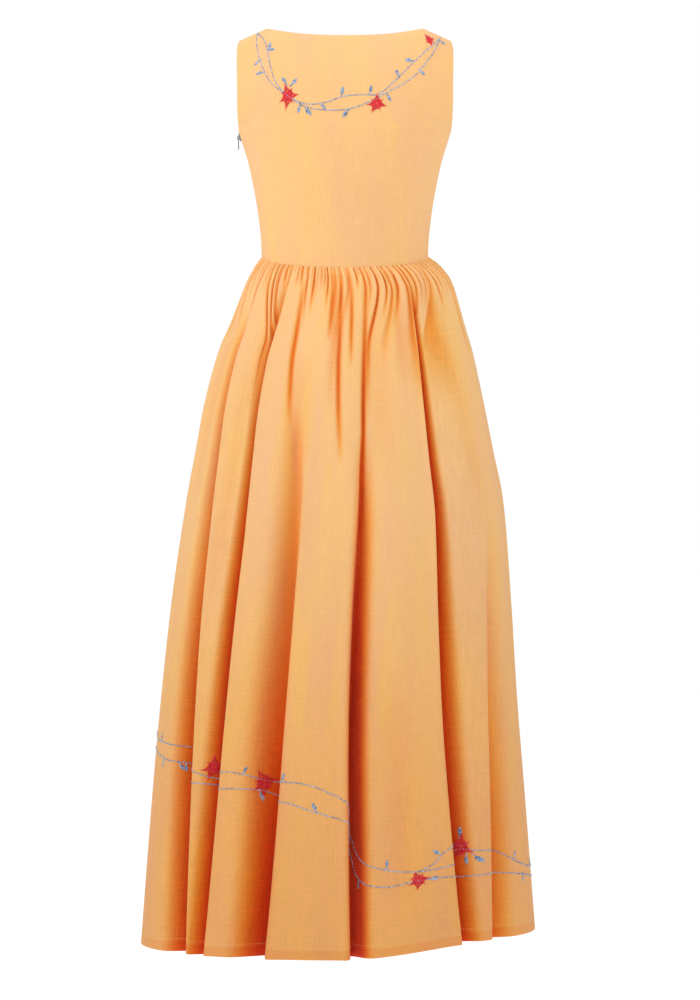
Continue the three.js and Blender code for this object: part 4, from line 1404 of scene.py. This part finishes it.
hem_stitches = {name: stitch_hem(name) for name in PANELS}
print("hem stitches", {name: len(made.data.polygons) for name, made in hem_stitches.items()})

# %% [markdown]
# ## The zip's metal
# The slider and the pull tab are small cast pieces with a dark bronze finish. Handling has rubbed
# some of it brighter, in patches that a noise sets, and the surface is slightly uneven.

# %% Zip metal
DARK_BRONZE = srgb(74, 64, 56)
RUBBED_BRONZE = srgb(136, 120, 104)
RUBBED_PATCHES = 700  # lumps in a metre
CAST_GRAIN = 5200
LITTLE_RUBBED = 2.5  # a power above 1 keeps most of the metal dark


def zip_metal():
    nodes = Finish("dark_bronze")
    place = nodes.add("ShaderNodeTexCoord").outputs["Object"]
    patches = nodes.noise(place, RUBBED_PATCHES, detail=3.0)
    grain = nodes.noise(place, CAST_GRAIN, detail=2.0)
    rubbed = nodes.math("POWER", patches, LITTLE_RUBBED)
    nodes.fill(nodes.surface, {
        "Base Color": nodes.mix(rubbed, DARK_BRONZE, RUBBED_BRONZE), "Metallic": 0.9,
        "Roughness": nodes.math("MULTIPLY_ADD", patches, 0.3, 0.25),
        "Normal": nodes.bump(grain, strength=0.3, distance=0.0001)})
    return nodes.material


bronze = zip_metal()
for node in ("zip_slider", "zip_pull"):
    for slot in bpy.data.objects[node].material_slots:
        slot.material = bronze
print("zip metal", bronze.name)

# %% [markdown]
# ## Pieces on the dress
# Each panel and its stitching moves with the dress. The four plain walls of the frame give way to
# the four cloth panels. Each panel is listed with the size that it was cut to: a skirt panel is a
# trapezoid 57 cm wide at the top, before it is gathered, and a bodice panel is a rectangle with the
# armholes and neck cut out.

# %% Put the pieces on the dress
CUTS = {
    # panel: width and length of the cut in metres, its area in square metres, how it is held
    "bodice_back": dict(flat=(0.37, 0.32), area=0.106, held="hung"),
    "bodice_front": dict(flat=(0.37, 0.32), area=0.104, held="hung"),
    "skirt_back": dict(flat=(0.95, 0.87), area=0.66, held="gathered"),
    "skirt_front": dict(flat=(0.91, 0.87), area=0.64, held="gathered"),
}

for key, cut in CUTS.items():
    part, name = key.split("_")
    panel = (bodices if part == "bodice" else skirts)[name][0]
    stitching = dict(embroidery[key])
    if part == "skirt":
        stitching["hem"] = hem_stitches[name]
    for piece in [panel, *stitching.values()]:
        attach(piece, "dress")
    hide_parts(key)
    shown = sum(face.area for face in panel.data.polygons)
    print(key, "cloth", round(shown, 3), "of", cut["area"], "m2")
